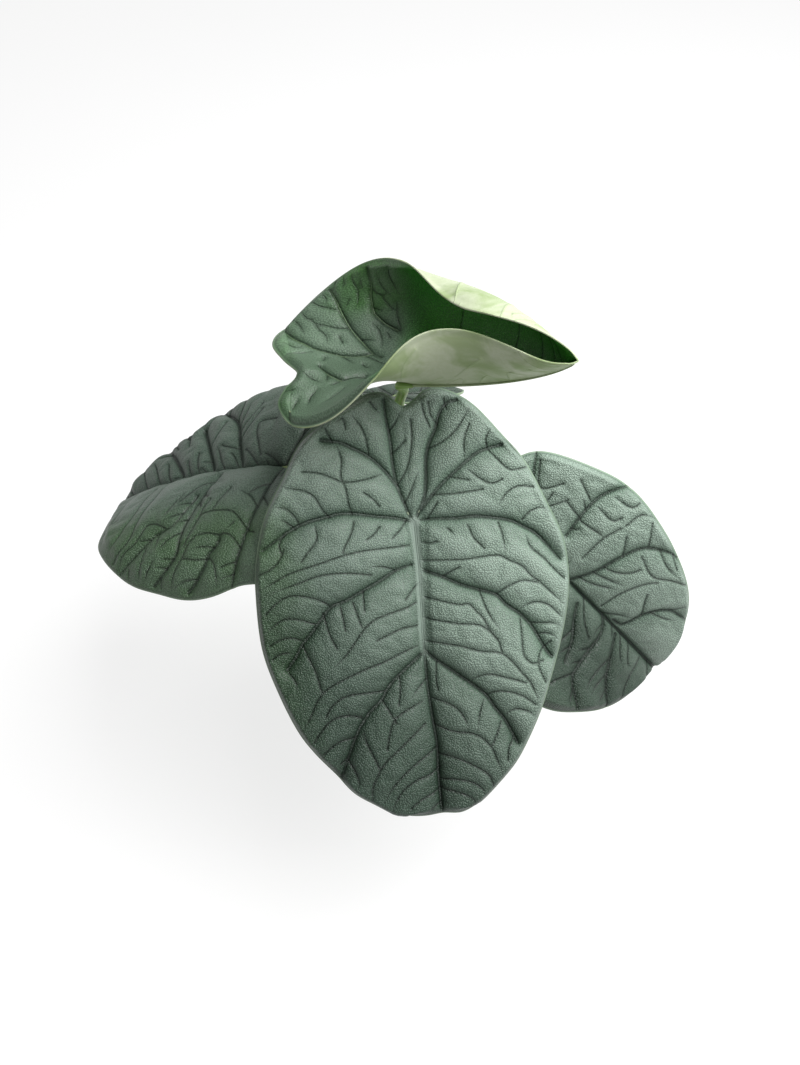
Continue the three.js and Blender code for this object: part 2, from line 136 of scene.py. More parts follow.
@dataclass
class LineField:
    """What a set of points learns about the lines near them.

    Attributes:
        offset: The way to the nearest point of a line.
        distance: The length of that way.
        strength: How strong the line is there, from 0 to 1.
        soft: A distance that rounds off between lines, and is larger where they are weak.
    """

    offset: Array
    distance: Array
    strength: Array
    soft: Array


def field_of(points: Array, lines: Sequence[Array], reach: float = math.inf) -> LineField:
    """The field of some lines at some points.

    Args:
        points: Flat points, one a row.
        lines: Polylines, each with one point a row and perhaps its strength as a third number.
        reach: Lines further away than this may be passed over.

    Returns:
        The field at each point.
    """
    starts = np.vstack([line[:-1, :2] for line in lines])
    ends = np.vstack([line[1:, :2] for line in lines])
    power = np.concatenate([line[1:, 2] if line.shape[1] > 2 else np.ones(len(line) - 1) for line in lines])
    length = np.maximum(np.linalg.norm(ends - starts, axis=1), 1e-6)
    axis = (ends - starts) / length[:, None]
    result = np.empty((len(points), 5))
    keys = np.floor(points / TILE) if math.isfinite(reach) else np.zeros_like(points)
    for key in np.unique(keys, axis=0):
        mine = np.flatnonzero((keys == key).all(1))
        far = np.abs((starts + ends) / 2 - (key + 0.5) * TILE).max(1)
        near = np.flatnonzero(far < max(reach + TILE / 2, far.min() + TILE))
        blocks = math.ceil(len(mine) / max(1, PAIRS_AT_ONCE // len(near)))
        for rows in np.array_split(mine, blocks):
            here = points[rows]
            from_start = here[:, None, :] - starts[near]
            along = (from_start * axis[near]).sum(-1)
            aside = np.maximum((from_start**2).sum(-1) - along**2, 0)
            inside = np.clip(along, 0, length[near])
            best = (aside + (along - inside) ** 2).argmin(1)
            foot_run = inside[np.arange(len(here)), best]
            best_line = near[best]
            offset = starts[best_line] + axis[best_line] * foot_run[:, None] - here
            aside = aside + (HALF_CREASE / power[near]) ** 2
            ahead = length[near] - along
            pull = (ahead / np.sqrt(ahead**2 + aside) + along / np.sqrt(along**2 + aside)) / (2 * aside)
            result[rows] = np.column_stack([offset, np.linalg.norm(offset, axis=1), power[best_line],
                                            pull.sum(1) ** -0.5])
    return LineField(result[:, :2], *result[:, 2:].T)


def faded(line: Array, others: Sequence[Array], length: float, least: float, strength: float) -> Array:
    """A line with its strength, which falls toward each end that meets no other line.

    Args:
        line: The line's points.
        others: The lines that it may meet.
        length: Length over which it fades, or a bit less than half of a short line.
        least: Its strength at a free end, against its usual one.
        strength: Its usual strength.

    Returns:
        The line with a third number a point.
    """
    meeting_gap, weakest = 1.8, 0.04
    flat = line[:, :2]
    run = run_along(flat)
    free = field_of(flat[[0, -1]], others).distance > meeting_gap
    share = np.ones(len(flat))
    for is_free, way in zip(free, (run, run[-1] - run)):
        if is_free:
            share *= least + (1 - least) * smooth_step(way, 0, min(length, 0.45 * run[-1]) + 1e-3)
    return np.column_stack([flat, np.maximum(strength * share, weakest)])


# The bent form of a blade


@dataclass(frozen=True)
class Fold:
    """How steeply a half blade rises, in degrees, at its base, middle and tip.

    Attributes:
        rib: The rise beside the midrib.
        rim: The rise at the rim.
    """

    rib: Triple
    rim: Triple

    @classmethod
    def even(cls, rib: float, rim: float) -> "Fold":
        """The same fold all along the blade."""
        return cls((rib,) * 3, (rim,) * 3)


@dataclass(frozen=True)
class BladeForm:
    """The bent middle surface of a blade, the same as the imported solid's.

    Attributes:
        petiole_point: Where the stalk meets the blade.
        heading: Compass direction of the tip in degrees, 0 toward -Y and 90 toward +X.
        droop: Degrees that the tip points below the horizon.
        bank: Degrees of roll round the midrib.
        length: From petiole to tip.
        arch: Degrees that the midrib bends down by the tip.
        base_arch: The same, toward the base.
        left: Fold of the half with x below 0.
        right: Fold of the other half.
    """

    petiole_point: Triple
    heading: float
    droop: float
    bank: float
    length: float
    arch: float
    base_arch: float
    left: Fold
    right: Fold

    # Shares of the length: the lobes behind the petiole, and the half width that a fold is spread over.
    LOBES = 0.45
    HALF_WIDTH = 0.55

    def axes(self) -> tuple[Array, Array, Array]:
        """Unit vectors across the blade, to its tip and up from its upper side."""
        h, d, b = (math.radians(a) for a in (self.heading, self.droop, self.bank))
        to_tip = np.array([math.sin(h) * math.cos(d), -math.cos(h) * math.cos(d), -math.sin(d)])
        level_up = np.array([math.sin(h) * math.sin(d), -math.cos(h) * math.sin(d), math.cos(d)])
        up = level_up * math.cos(b) + np.cross(level_up, to_tip) * math.sin(b)
        return np.cross(up, to_tip), to_tip, up

    def points(self, flat: Array) -> Array:
        """World points of flat points.

        Args:
            flat: Flat points, one a row.

        Returns:
            World points in millimetres, one a row.
        """
        steps = 14
        x, y = flat[:, 0], flat[:, 1]
        t = np.clip((y / self.length + self.LOBES) / (1 + self.LOBES), 0, 1)
        curve = np.radians(np.where(y > 0, self.arch, self.base_arch)) / self.length
        shares = (np.arange(steps) + 0.5) / steps
        bend = curve * y * shares[:, None]
        forward = np.cos(bend).mean(0) * y
        lift = -np.sin(bend).mean(0) * y

        def blended(left: Triple, right: Triple) -> Array:
            """The rise along the blade, from three angles of each half."""
            base, middle, tip = (np.where(x > 0, r, q) for q, r in zip(left, right))
            curve_up = base * (1 - t) * (1 - 2 * t) + 4 * middle * t * (1 - t) + tip * t * (2 * t - 1)
            return np.radians(curve_up)

        rib = blended(self.left.rib, self.right.rib)
        rim = blended(self.left.rim, self.right.rim)
        widest, reach, least = 0.45, 0.56, 0.06
        steepening, share_limit = 1.3, 1.3
        taper = np.sqrt(np.maximum(1 - ((t - widest) / reach) ** 2, least))
        half_width = self.HALF_WIDTH * self.length * taper
        share = np.minimum(np.abs(x) * shares[:, None] / half_width, share_limit)
        rise_angle = rib + (rim - rib) * share**steepening
        side = np.cos(rise_angle).mean(0) * x
        rise = np.sin(rise_angle).mean(0) * np.abs(x)
        across, to_tip, up = self.axes()
        return (np.array(self.petiole_point) + side[:, None] * across
                + (forward + rise * np.sin(curve * y))[:, None] * to_tip
                + (lift + rise * np.cos(curve * y))[:, None] * up)

    def normals(self, flat: Array) -> Array:
        """Unit normals of the upper side at flat points, evened out across the fold at the midrib."""
        step_x, step_y = np.array([4.0, 0.0]), np.array([0.0, 0.5])
        along_x = self.points(flat + step_x) - self.points(flat - step_x)
        along_y = self.points(flat + step_y) - self.points(flat - step_y)
        normal = np.cross(along_y, along_x)
        return normal / np.linalg.norm(normal, axis=1, keepdims=True)


class Side(Enum):
    """Which side of a blade the photograph shows at a line."""

    UPPER = 1
    UNDER = -1


@dataclass(frozen=True)
class PhotoCamera:
    """The photograph's camera, and how its pixels meet the plant.

    Attributes:
        width: Pixels across.
        height: Pixels down.
        lens: Focal length in millimetres.
        sensor: Long side of the sensor in millimetres.
        elevation: Degrees that the camera looks down.
        distance: From the camera to the anchor, along its axis.
        anchor: A world point.
        anchor_pixel: The pixel that shows it.
    """

    width: float = 800.0
    height: float = 1065.0
    lens: float = 45.0
    sensor: float = 36.0
    elevation: float = 50.0
    distance: float = 650.0
    anchor: Triple = (0.0, -50.0, 195.0)
    anchor_pixel: tuple[float, float] = (412.0, 523.0)

    @property
    def focal(self) -> float:
        """Focal length in pixels."""
        return self.lens / self.sensor * self.height

    def axes(self) -> tuple[Array, Array, Array]:
        """Unit vectors to the picture's right, to its top and back to the camera."""
        e = math.radians(self.elevation)
        return (np.array([1.0, 0.0, 0.0]), np.array([0.0, math.sin(e), math.cos(e)]),
                np.array([0.0, -math.cos(e), math.sin(e)]))

    def position(self) -> Array:
        """Where the camera stands."""
        right, up, back = self.axes()
        scale = self.distance / self.focal
        across = (self.anchor_pixel[0] - self.width / 2) * scale
        above = (self.height / 2 - self.anchor_pixel[1]) * scale
        return np.array(self.anchor) - right * across - up * above + back * self.distance

    def pixels(self, points: Array) -> Array:
        """The pixels that show world points."""
        right, up, back = self.axes()
        way = points - self.position()
        depth = -(way @ back)
        return np.stack([self.width / 2 + self.focal * (way @ right) / depth,
                         self.height / 2 - self.focal * (way @ up) / depth], -1)

    def flat_points(self, form: BladeForm, pixels: Sequence, side: Side = Side.UPPER) -> Array:
        """The flat points of a blade that pixels show.

        Args:
            form: The blade's form.
            pixels: Pixels, one a row.
            side: The side of the blade that is seen there.

        Returns:
            Flat points, one a row.
        """
        wanted = np.asarray(pixels, float)
        across, along = np.meshgrid(np.linspace(-0.62, 0.75, 50), np.linspace(-0.5, 1.02, 60))
        grid = np.stack([across.ravel(), along.ravel()], -1) * form.length
        there = form.points(grid)
        facing = ((self.position() - there) * form.normals(grid)).sum(1) * side.value > 0
        shown = self.pixels(there)
        miss = ((wanted[:, None] - shown[None]) ** 2).sum(-1) + np.where(facing, 0, 1e6)
        flat = grid[miss.argmin(1)]
        rounds, step, longest_move = 9, 0.2, 3.0
        for _ in range(rounds):
            error = wanted - self.pixels(form.points(flat))
            slope = np.stack([
                (self.pixels(form.points(flat + way)) - self.pixels(form.points(flat - way))) / (2 * step)
                for way in (np.array([step, 0.0]), np.array([0.0, step]))
            ], -1)
            move = np.linalg.solve(slope + 1e-6 * np.eye(2), error[..., None])[..., 0]
            size = np.linalg.norm(move, axis=1, keepdims=True)
            flat = flat + move * np.minimum(1, longest_move / np.maximum(size, 1e-6))
        return flat

    def make(self) -> None:
        """Makes the scene's camera."""
        data = bpy.data.cameras.new("photo_camera")
        data.lens, data.sensor_width = self.lens, self.sensor
        data.clip_start, data.clip_end = 0.05, 20
        camera = bpy.data.objects.new("photo_camera", data)
        camera.location = Vector(self.position() * MM)
        camera.rotation_mode = "QUATERNION"
        camera.rotation_quaternion = (-Vector(self.axes()[2])).to_track_quat("-Z", "Y")
        bpy.context.collection.objects.link(camera)
        bpy.context.scene.camera = camera


# Outlines and veins


@dataclass
class Outline:
    """The closed edge of a blade in flat coordinates.

    Attributes:
        ring: Its points in order, anticlockwise in flat coordinates.
        centre: A point that sees the whole ring.
    """

    ring: Array
    centre: Array

    def at(self, angles: Array) -> Array:
        """The edge's points at angles round the centre."""
        spoke = self.ring - self.centre
        angle = np.arctan2(spoke[:, 1], spoke[:, 0])
        order = np.argsort(angle)
        turn = 2 * math.pi
        wrapped = np.concatenate([angle[order] - turn, angle[order], angle[order] + turn])
        return np.stack([np.interp(angles, wrapped, np.tile(self.ring[order, k], 3)) for k in (0, 1)], -1)

    def room(self, point: Array) -> float:
        """How far inside the edge a point lies, along the spoke through it."""
        spoke = point - self.centre
        edge = self.at(np.array([math.atan2(spoke[1], spoke[0])]))[0] - self.centre
        return float(np.linalg.norm(edge) - np.linalg.norm(spoke))

    def distance(self, points: Array) -> Array:
        """How far points are from the edge."""
        closed = np.vstack([self.ring[::3], self.ring[:1]])
        return field_of(points, [closed]).distance

    def pulled_to(self, photo_edge: Line, form: BladeForm, reach: float = 14.0) -> "Outline":
        """This outline moved onto the edge that the photograph shows, where the two are near.

        Args:
            photo_edge: Pixels along the visible edge.
            form: The blade's form.
            reach: How many pixels away the edge still pulls.

        Returns:
            The new outline.
        """
        def even(values: Array, window: int) -> Array:
            """Values round the ring, evened out over a window of its points."""
            weights = np.hanning(window)
            tripled = np.convolve(np.tile(values, 3), weights / weights.sum(), "same")
            return tripled[len(values):2 * len(values)]

        shown = CAMERA.pixels(form.points(self.ring))
        edge = evenly(spline(photo_edge), 400)
        gap = np.linalg.norm(shown[:, None] - edge[None], axis=-1)
        best, margin = gap.argmin(1), 3
        held = (gap.min(1) < reach) & (best >= margin) & (best < len(edge) - margin)
        weight = even(held.astype(float), 31)[:, None]
        shift = CAMERA.flat_points(form, shown + (edge[best] - shown) * weight) - self.ring
        shift[np.linalg.norm(shift, axis=1) > 0.12 * form.length] = 0
        return Outline(self.ring + np.stack([even(shift[:, k], 37) for k in (0, 1)], -1), self.centre)


@dataclass(frozen=True)
class BladePlan:
    """A blade's proportions in flat coordinates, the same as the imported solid's.

    Attributes:
        length: From petiole to tip.
        left_width: Width of the half with x below 0, against the usual.
        right_width: Width of the other half.
        base_length: Length of the lobes behind the petiole, against the usual.
    """

    length: float
    left_width: float = 1.0
    right_width: float = 1.0
    base_length: float = 1.0

    HALF_EDGE = ((0.1, -0.445), (0.22, -0.47), (0.36, -0.4), (0.47, -0.22), (0.53, 0.0),
                 (0.545, 0.2), (0.515, 0.4), (0.43, 0.62), (0.29, 0.82), (0.13, 0.95))
    SINUS_DEPTH = 0.4
    HALF_VEINS = (
        ((0.0, 0.0), (0.045, -0.16), (0.07, -0.32), (0.11, -0.45)),
        ((0.0, 0.0), (0.06, -0.12), (0.17, -0.26), (0.35, -0.41)),
        ((0.0, 0.0), (0.17, -0.03), (0.35, -0.02), (0.53, 0.02)),
        ((0.0, 0.15), (0.13, 0.19), (0.28, 0.25), (0.4, 0.35), (0.49, 0.47)),
        ((0.0, 0.46), (0.09, 0.51), (0.19, 0.6), (0.26, 0.71), (0.28, 0.83)),
    )
    # Where the outline's centre lies on the midrib, against the length.
    CENTRE_SHARE = 0.3

    def placed(self, points: Sequence, side: int) -> list[tuple[float, float]]:
        """Points of the half plan on one side, +1 or -1, of this blade."""
        width = self.right_width if side > 0 else self.left_width
        return [(side * x * width * self.length, y * self.length * (self.base_length if y < 0 else 1))
                for x, y in points]

    def outline(self) -> Outline:
        """The whole outline."""
        sinus = (0.0, -self.SINUS_DEPTH * self.length * self.base_length)
        ring = [sinus, *self.placed(self.HALF_EDGE, 1), (0.0, self.length),
                *self.placed(self.HALF_EDGE, -1)[::-1]]
        centre = np.array([0.0, self.CENTRE_SHARE * self.length])
        return Outline(evenly(spline(ring, 30, True, 0), 640), centre)

    def midrib(self) -> Array:
        """The midrib from petiole to tip."""
        return np.array([[0.0, self.length * k / 12] for k in range(13)])

    def main_veins(self, kept: Sequence[int], sides: Sequence[int] = (1, -1)) -> list[Array]:
        """The usual main veins of the given numbers, on the given sides."""
        return [spline(self.placed(self.HALF_VEINS[k], side), 4) for k in kept for side in sides]


@dataclass
class VeinNet:
    """The veins of a blade as flat polylines.

    Attributes:
        midrib: The midrib.
        main: The main veins.
        side: The side veins between them.
        fine: The faint veins between those.
    """

    midrib: Array
    main: list[Array]
    side: list[Array] = field(default_factory=list)
    fine: list[Array] = field(default_factory=list)

    # Degrees between a grown vein and its parent, at the least and the most.
    SIDE_SLANT = (48, 62)
    FINE_SLANT = (60, 85)
    # Length over which a free end fades, its strength there and the usual strength.
    MAIN_FADE = (16, 0.45, 1.0)
    SIDE_FADE = (7, 0.12, 0.85)
    FINE_STRENGTH = 0.2

    @property
    def large(self) -> list[Array]:
        """The midrib and the main veins."""
        return [self.midrib, *self.main]

    @property
    def all(self) -> list[Array]:
        """Every vein."""
        return [*self.large, *self.side, *self.fine]

    def grow(self, outline: Outline, side_spacing: float, fine_spacing: float, seed: int) -> None:
        """Grows side veins where there are none yet, then the fine ones, and fades all free ends.

        Args:
            outline: The blade's outline.
            side_spacing: Usual distance between neighbouring side veins.
            fine_spacing: The same for fine veins.
            seed: Seed of the random draws.
        """
        random = np.random.default_rng(seed)
        self._branch(self.large, self.side, outline, side_spacing, random, self.SIDE_SLANT)
        if fine_spacing:
            self._branch(self.large + self.side, self.fine, outline, fine_spacing, random, self.FINE_SLANT)
        every = self.all

        def fade(lines: list[Array], length: float, least: float, strength: float) -> list[Array]:
            """Veins with their strength, which falls toward their free ends."""
            return [faded(line, [other for other in every if other is not line], length, least, strength)
                    for line in lines]

        self.main, self.side = fade(self.main, *self.MAIN_FADE), fade(self.side, *self.SIDE_FADE)
        self.fine = [np.column_stack([line, np.full(len(line), self.FINE_STRENGTH)]) for line in self.fine]

    def _branch(self, parents: list[Array], into: list[Array], outline: Outline, spacing: float,
                random: np.random.Generator, slant: tuple[float, float]) -> None:
        """Grows veins from both sides of others.

        Each one leaves its parent at a slant toward the rim, bends and stops short of the next vein.

        Args:
            parents: The veins that they leave.
            into: The list that takes them.
            outline: The blade's outline.
            spacing: Usual distance between neighbours.
            random: The random draws.
            slant: The least and greatest angle with the parent in degrees.
        """
        marks = [dotted(line) for line in self.all]
        kin = [dotted(line) for line in into]
        samples = 40
        for parent in list(parents):
            stations = int(full_length(parent) / spacing)
            parent = evenly(parent[:, :2], samples)
            for k in range(stations):
                for side in (1, -1):
                    place = (k + (0.75 if side > 0 else 0.3) + random.uniform(-0.15, 0.15)) / stations
                    index = int(np.clip(place * (samples - 1), 0, samples - 2))
                    start, heading = parent[index], parent[index + 1] - parent[index]
                    if kin and gap_to(start, np.vstack(kin)) < spacing * 0.65:
                        continue
                    turn = side * math.radians(random.uniform(*slant))
                    branch = self._march(start, heading, turn, outline, spacing, np.vstack(marks), random)
                    if branch is not None:
                        into.append(branch)
                        marks.append(dotted(branch))
                        kin.append(marks[-1])

    @staticmethod
    def _march(start: Array, heading: Array, turn: float, outline: Outline, spacing: float,
               marks: Array, random: np.random.Generator) -> Array | None:
        """One vein grown step by step, or None where there is no room for it."""
        step, edge_gap, fewest = spacing * 0.22, 2.5, 5
        angle = math.atan2(heading[1], heading[0]) + turn
        bend = -math.copysign(random.uniform(0.02, 0.07), turn)
        at, path = start.copy(), [start.copy()]
        for k in range(random.integers(9, 16)):
            at = at + step * np.array([math.cos(angle), math.sin(angle)])
            angle += bend + random.uniform(-0.06, 0.06)
            if outline.room(at) < edge_gap or (k > 2 and gap_to(at, marks) < spacing * 0.3):
                break
            path.append(at.copy())
        if len(path) < fewest:
            return None
        return np.array(path) if gap_to(path[3], marks) > step * 1.2 else None


def dotted(line: Array) -> Array:
    """A line's flat points about a millimetre apart."""
    return evenly(line[:, :2], 2 + int(full_length(line)))


def gap_to(point: Array, marks: Array) -> float:
    """The distance from a point to the nearest of some others."""
    return float(np.sqrt(((marks - point) ** 2).sum(1).min()))


# Materials


class NodeSheet:
    """One material's node tree, with short calls for the nodes that the finishes need."""

    def __init__(self, name: str) -> None:
        """Starts an empty material of this name."""
        self.material = bpy.data.materials.new(name)
        self.material.use_nodes = True
        self.tree = self.material.node_tree
        self.tree.nodes.clear()

    def node(self, kind: str, inputs: dict | Sequence = (), **settings: object) -> bpy.types.Node:
        """A new node of a kind, with its settings and with inputs fed in order, or by name or number."""
        node = self.tree.nodes.new(kind)
        for key, value in settings.items():
            setattr(node, key, value)
        for key, value in inputs.items() if isinstance(inputs, dict) else enumerate(inputs):
            self.feed(node.inputs[key], value)
        return node

    def feed(self, socket: Socket, value: object) -> None:
        """Links a socket to another one, or sets it to a constant."""
        if isinstance(value, Socket):
            self.tree.links.new(value, socket)
        elif isinstance(value, tuple) and len(value) == 3 and socket.type == "RGBA":
            socket.default_value = (*value, 1)
        else:
            socket.default_value = value

    def math(self, operation: str, *values: object) -> Socket:
        """The result of a Math node."""
        return self.node("ShaderNodeMath", values, operation=operation).outputs[0]

    def total(self, *values: object) -> Socket:
        """The sum of several values."""
        return reduce(lambda one, other: self.math("ADD", one, other), values)

    def times(self, *values: object) -> Socket:
        """The product of several values."""
        return reduce(lambda one, other: self.math("MULTIPLY", one, other), values)

    def rest(self, value: object) -> Socket:
        """What a value leaves of 1."""
        return self.math("SUBTRACT", 1.0, value)

    def spread(self, value: object, low: float, high: float, to_low: float = 0.0,
               to_high: float = 1.0) -> Socket:
        """A value mapped smoothly from one range to another and held at its ends."""
        inputs = (value, low, high, to_low, to_high)
        return self.node("ShaderNodeMapRange", inputs, interpolation_type="SMOOTHSTEP").outputs[0]

    def mix(self, factor: object, first: object, second: object, blend: str = "MIX") -> Socket:
        """Two colours mixed."""
        inputs = {0: factor, 6: first, 7: second}
        return self.node("ShaderNodeMix", inputs, data_type="RGBA", blend_type=blend,
                         clamp_factor=True).outputs[2]

    def attribute(self, name: str) -> Socket:
        """A stored attribute as a vector."""
        return self.node("ShaderNodeAttribute", attribute_name=name).outputs["Vector"]

    def parts(self, vector: Socket) -> tuple[Socket, ...]:
        """The three parts of a vector."""
        return tuple(self.node("ShaderNodeSeparateXYZ", (vector,)).outputs)

    def joined(self, *values: object) -> Socket:
        """A vector of up to three parts."""
        return self.node("ShaderNodeCombineXYZ", values).outputs[0]

    def grey(self, value: object) -> Socket:
        """A grey colour of a value."""
        return self.node("ShaderNodeCombineColor", (value,) * 3).outputs[0]

    def stretched(self, vector: object, scale: Triple) -> Socket:
        """A vector scaled by parts."""
        return self.node("ShaderNodeVectorMath", (vector, scale), operation="MULTIPLY").outputs[0]

    def moved(self, vector: object, way: object, amount: float) -> Socket:
        """A vector moved by another one, times an amount."""
        inputs = (way, (amount,) * 3, vector)
        return self.node("ShaderNodeVectorMath", inputs, operation="MULTIPLY_ADD").outputs[0]

    def place(self) -> Socket:
        """Object coordinates, in metres."""
        return self.node("ShaderNodeTexCoord").outputs["Object"]

    def noise(self, vector: object, scale: float, detail: float = 2.0, roughness: float = 0.5,
              distortion: float = 0.0) -> Socket:
        """A noise value about 0.5."""
        inputs = {"Vector": vector, "Scale": scale, "Detail": detail, "Roughness": roughness,
                  "Distortion": distortion}
        return self.node("ShaderNodeTexNoise", inputs).outputs[0]

    def noise_vector(self, vector: object, scale: float) -> Socket:
        """Three noise values, each about 0.5."""
        return self.node("ShaderNodeTexNoise", {"Vector": vector, "Scale": scale}).outputs[1]

    def cells(self, vector: object, scale: float) -> Socket:
        """The distance to the nearest of some scattered points of a plane."""
        inputs = {"Vector": vector, "Scale": scale}
        return self.node("ShaderNodeTexVoronoi", inputs, voronoi_dimensions="2D").outputs["Distance"]

    def bump(self, height_mm: object) -> Socket:
        """A bumped normal from a height in millimetres."""
        inputs = {"Strength": 1.0, "Distance": MM, "Height": height_mm}
        return self.node("ShaderNodeBump", inputs).outputs[0]

    def finish(self, colour: object, roughness: object, normal: object = None,
               **constants: float) -> Material:
        """Closes the tree with one shader.

        Args:
            colour: Base colour.
            roughness: Roughness.
            normal: Bumped normal, if any.
            constants: Other inputs of the shader by name, with _ for a space.

        Returns:
            The material.
        """
        inputs = {"Base Color": colour, "Roughness": roughness}
        inputs |= {key.replace("_", " "): value for key, value in constants.items()}
        shader = self.node("ShaderNodeBsdfPrincipled", inputs)
        if normal is not None:
            self.feed(shader.inputs["Normal"], normal)
        self.node("ShaderNodeOutputMaterial", {"Surface": shader.outputs[0]})
        return self.material


@dataclass(frozen=True)
class LeafFinish:
    """The upper side of a blade: pebbled skin, pale veins and a pale rim, with painted shade in the
    creases, low on the pads and in shaded zones, and painted light on the pads' crests and pebbles.

    Attributes:
        name: The material's name.
        deep: Colour low on the pads beside the creases, with painted shade.
        light: Colour on the pads' crests, with painted light, and of lighter patches.
        fresh: The fresher green of young tissue.
        fresh_share: How much of it shows all over.
        vein: Colour of the pale lines.
        rim: Colour of the rim.
        deep_shade: What the skin's colour is multiplied by in the zone of deep painted shade.
        shaded: The same in the zone of lighter painted shade.
        line_share: How much of the pale lines shows in the creases.
        crease_shade: Brightness left in the creases by their painted shade.
        side_crease_shade: Distances from a side vein between which the painted crease shade fades out.
        main_crease_shade: The same from a main vein.
        pebble_shading: Brightness between the pebbles and on their tops: painted shade between them and
            painted light on their tops.
        pebble: Height of the pebbles in millimetres.
        pebble_size: Pitch of the pebbles in millimetres.
    """

    name: str = "leaf_skin"
    deep: Colour = (0.083, 0.129, 0.098)
    light: Colour = (0.213, 0.275, 0.232)
    fresh: Colour = (0.105, 0.195, 0.085)
    fresh_share: float = 0.1
    vein: Colour = (0.185, 0.240, 0.200)
    rim: Colour = (0.165, 0.230, 0.150)
    deep_shade: Colour = (0.20, 0.26, 0.22)
    shaded: Colour = (0.45, 0.52, 0.45)
    line_share: float = 0.12
    crease_shade: float = 0.40
    side_crease_shade: tuple[float, float] = (0.1, 1.1)
    main_crease_shade: tuple[float, float] = (0.25, 1.5)
    pebble_shading: tuple[float, float] = (0.76, 1.13)
    pebble: float = 0.24
    pebble_size: float = 0.85

    def make(self) -> Material:
        """The material."""
        n = NodeSheet(self.name)
        flat = n.attribute("blade")
        x, y, edge = n.parts(flat)
        main_power, side_power, _ = n.parts(n.attribute("strength"))
        # The fresh green zone, then the zones of deep and of lighter painted shade.
        fresh_zone, deep_shade, shade_zone = n.parts(n.attribute("fresh_and_painted_shade"))
        main = self._line_distance(n, "main_vein", main_power)
        side = self._line_distance(n, "side_vein", side_power)
        skin = n.joined(x, y)
        side = n.total(side, n.times(n.math("SUBTRACT", n.noise(skin, 0.7, 1), 0.5), 0.55))
        crest, strand, pad = n.parts(n.attribute("tone"))
        broad = n.noise(skin, 0.045, 3, 0.55)
        patch = n.noise(skin, 0.16, 3, 0.6)
        wobble = n.moved(skin, n.noise_vector(skin, 0.5), 0.8)
        pebbles = n.spread(n.cells(wobble, 1 / self.pebble_size), 0.12, 0.62, 1.0, 0.0)

        # Painted shade and light: darker low on the pads beside the creases, lighter on their crests.
        raised = n.spread(n.total(n.times(crest, 0.6), n.times(pad, 0.6)), 0.3, 1.05)
        colour = n.mix(raised, self.deep, self.light)
        fresh_amount = n.spread(n.total(fresh_zone, n.times(patch, 0.5)), 0.25, 1.25, 0.0, 0.7)
        colour = n.mix(n.total(fresh_amount, self.fresh_share), colour, self.fresh)
        colour = n.mix(n.spread(broad, 0.35, 0.7, 0.0, 0.3), colour, self.light)
        # Painted shade: the skin is darkened over the zones of deep and of lighter shade.
        for zone, darkness in ((deep_shade, self.deep_shade), (shade_zone, self.shaded)):
            colour = n.mix(zone, colour, n.mix(1.0, colour, darkness, "MULTIPLY"))
        # Painted shade in the creases along the side and main veins.
        crease = n.times(n.spread(side, *self.side_crease_shade, self.crease_shade, 1.0),
                         n.spread(main, *self.main_crease_shade, self.crease_shade, 1.0))
        rim_inside = n.spread(n.math("ABSOLUTE", n.math("SUBTRACT", edge, 1.2)), 0.05, 0.5, 0.75, 1.0)
        inner = n.spread(edge, 0.6, 1.3)
        # Painted shade between the pebbles and painted light on their tops.
        shaded_pebbles = n.times(n.spread(pebbles, 0.0, 1.0, *self.pebble_shading), inner)
        shade = n.times(n.total(shaded_pebbles, n.rest(inner)), crease, rim_inside)
        colour = n.mix(1.0, colour, n.grey(shade), "MULTIPLY")
        line = n.spread(main, 0.1, 0.5, self.line_share, 0.0)
        colour = n.mix(n.math("MAXIMUM", line, strand), colour, self.vein)
        colour = n.mix(n.spread(edge, 0.2, 0.9, 0.7, 0.0), colour, self.rim)

        flatten = n.times(inner, n.rest(n.times(strand, 0.75)))
        strand_grain = n.times(n.noise(n.stretched(flat, (3.2, 0.12, 0.0)), 1.0, 2), 0.5)
        height = n.total(
            n.times(pebbles, self.pebble, flatten),
            n.spread(side, 0.0, 0.6, -0.3, 0.0),
            n.spread(main, 0.0, 0.4, 0.25, 0.0),
            n.spread(main, 0.35, 1.2, -0.35, 0.0),
            n.times(strand, strand_grain),
        )
        roughness = n.total(n.times(patch, 0.12), 0.40)
        return n.finish(colour, roughness, n.bump(height), Specular_IOR_Level=0.42)

    @staticmethod
    def _line_distance(n: NodeSheet, name: str, strength: Socket) -> Socket:
        """The distance to the nearest line, sharp between vertices, and larger where the line is weak.

        The stored way to the line passes through zero on the line itself. Half way between two lines
        it does too, so the stored distance takes over where that is large.
        """
        way_x, way_y, stored = n.parts(n.attribute(name))
        length = n.math("SQRT", n.total(n.times(way_x, way_x), n.times(way_y, way_y)))
        far = n.spread(stored, 0.6, 1.0)
        exact = n.total(n.times(length, n.rest(far)), n.times(stored, far))
        return n.total(exact, n.times(n.rest(strength), 0.55))


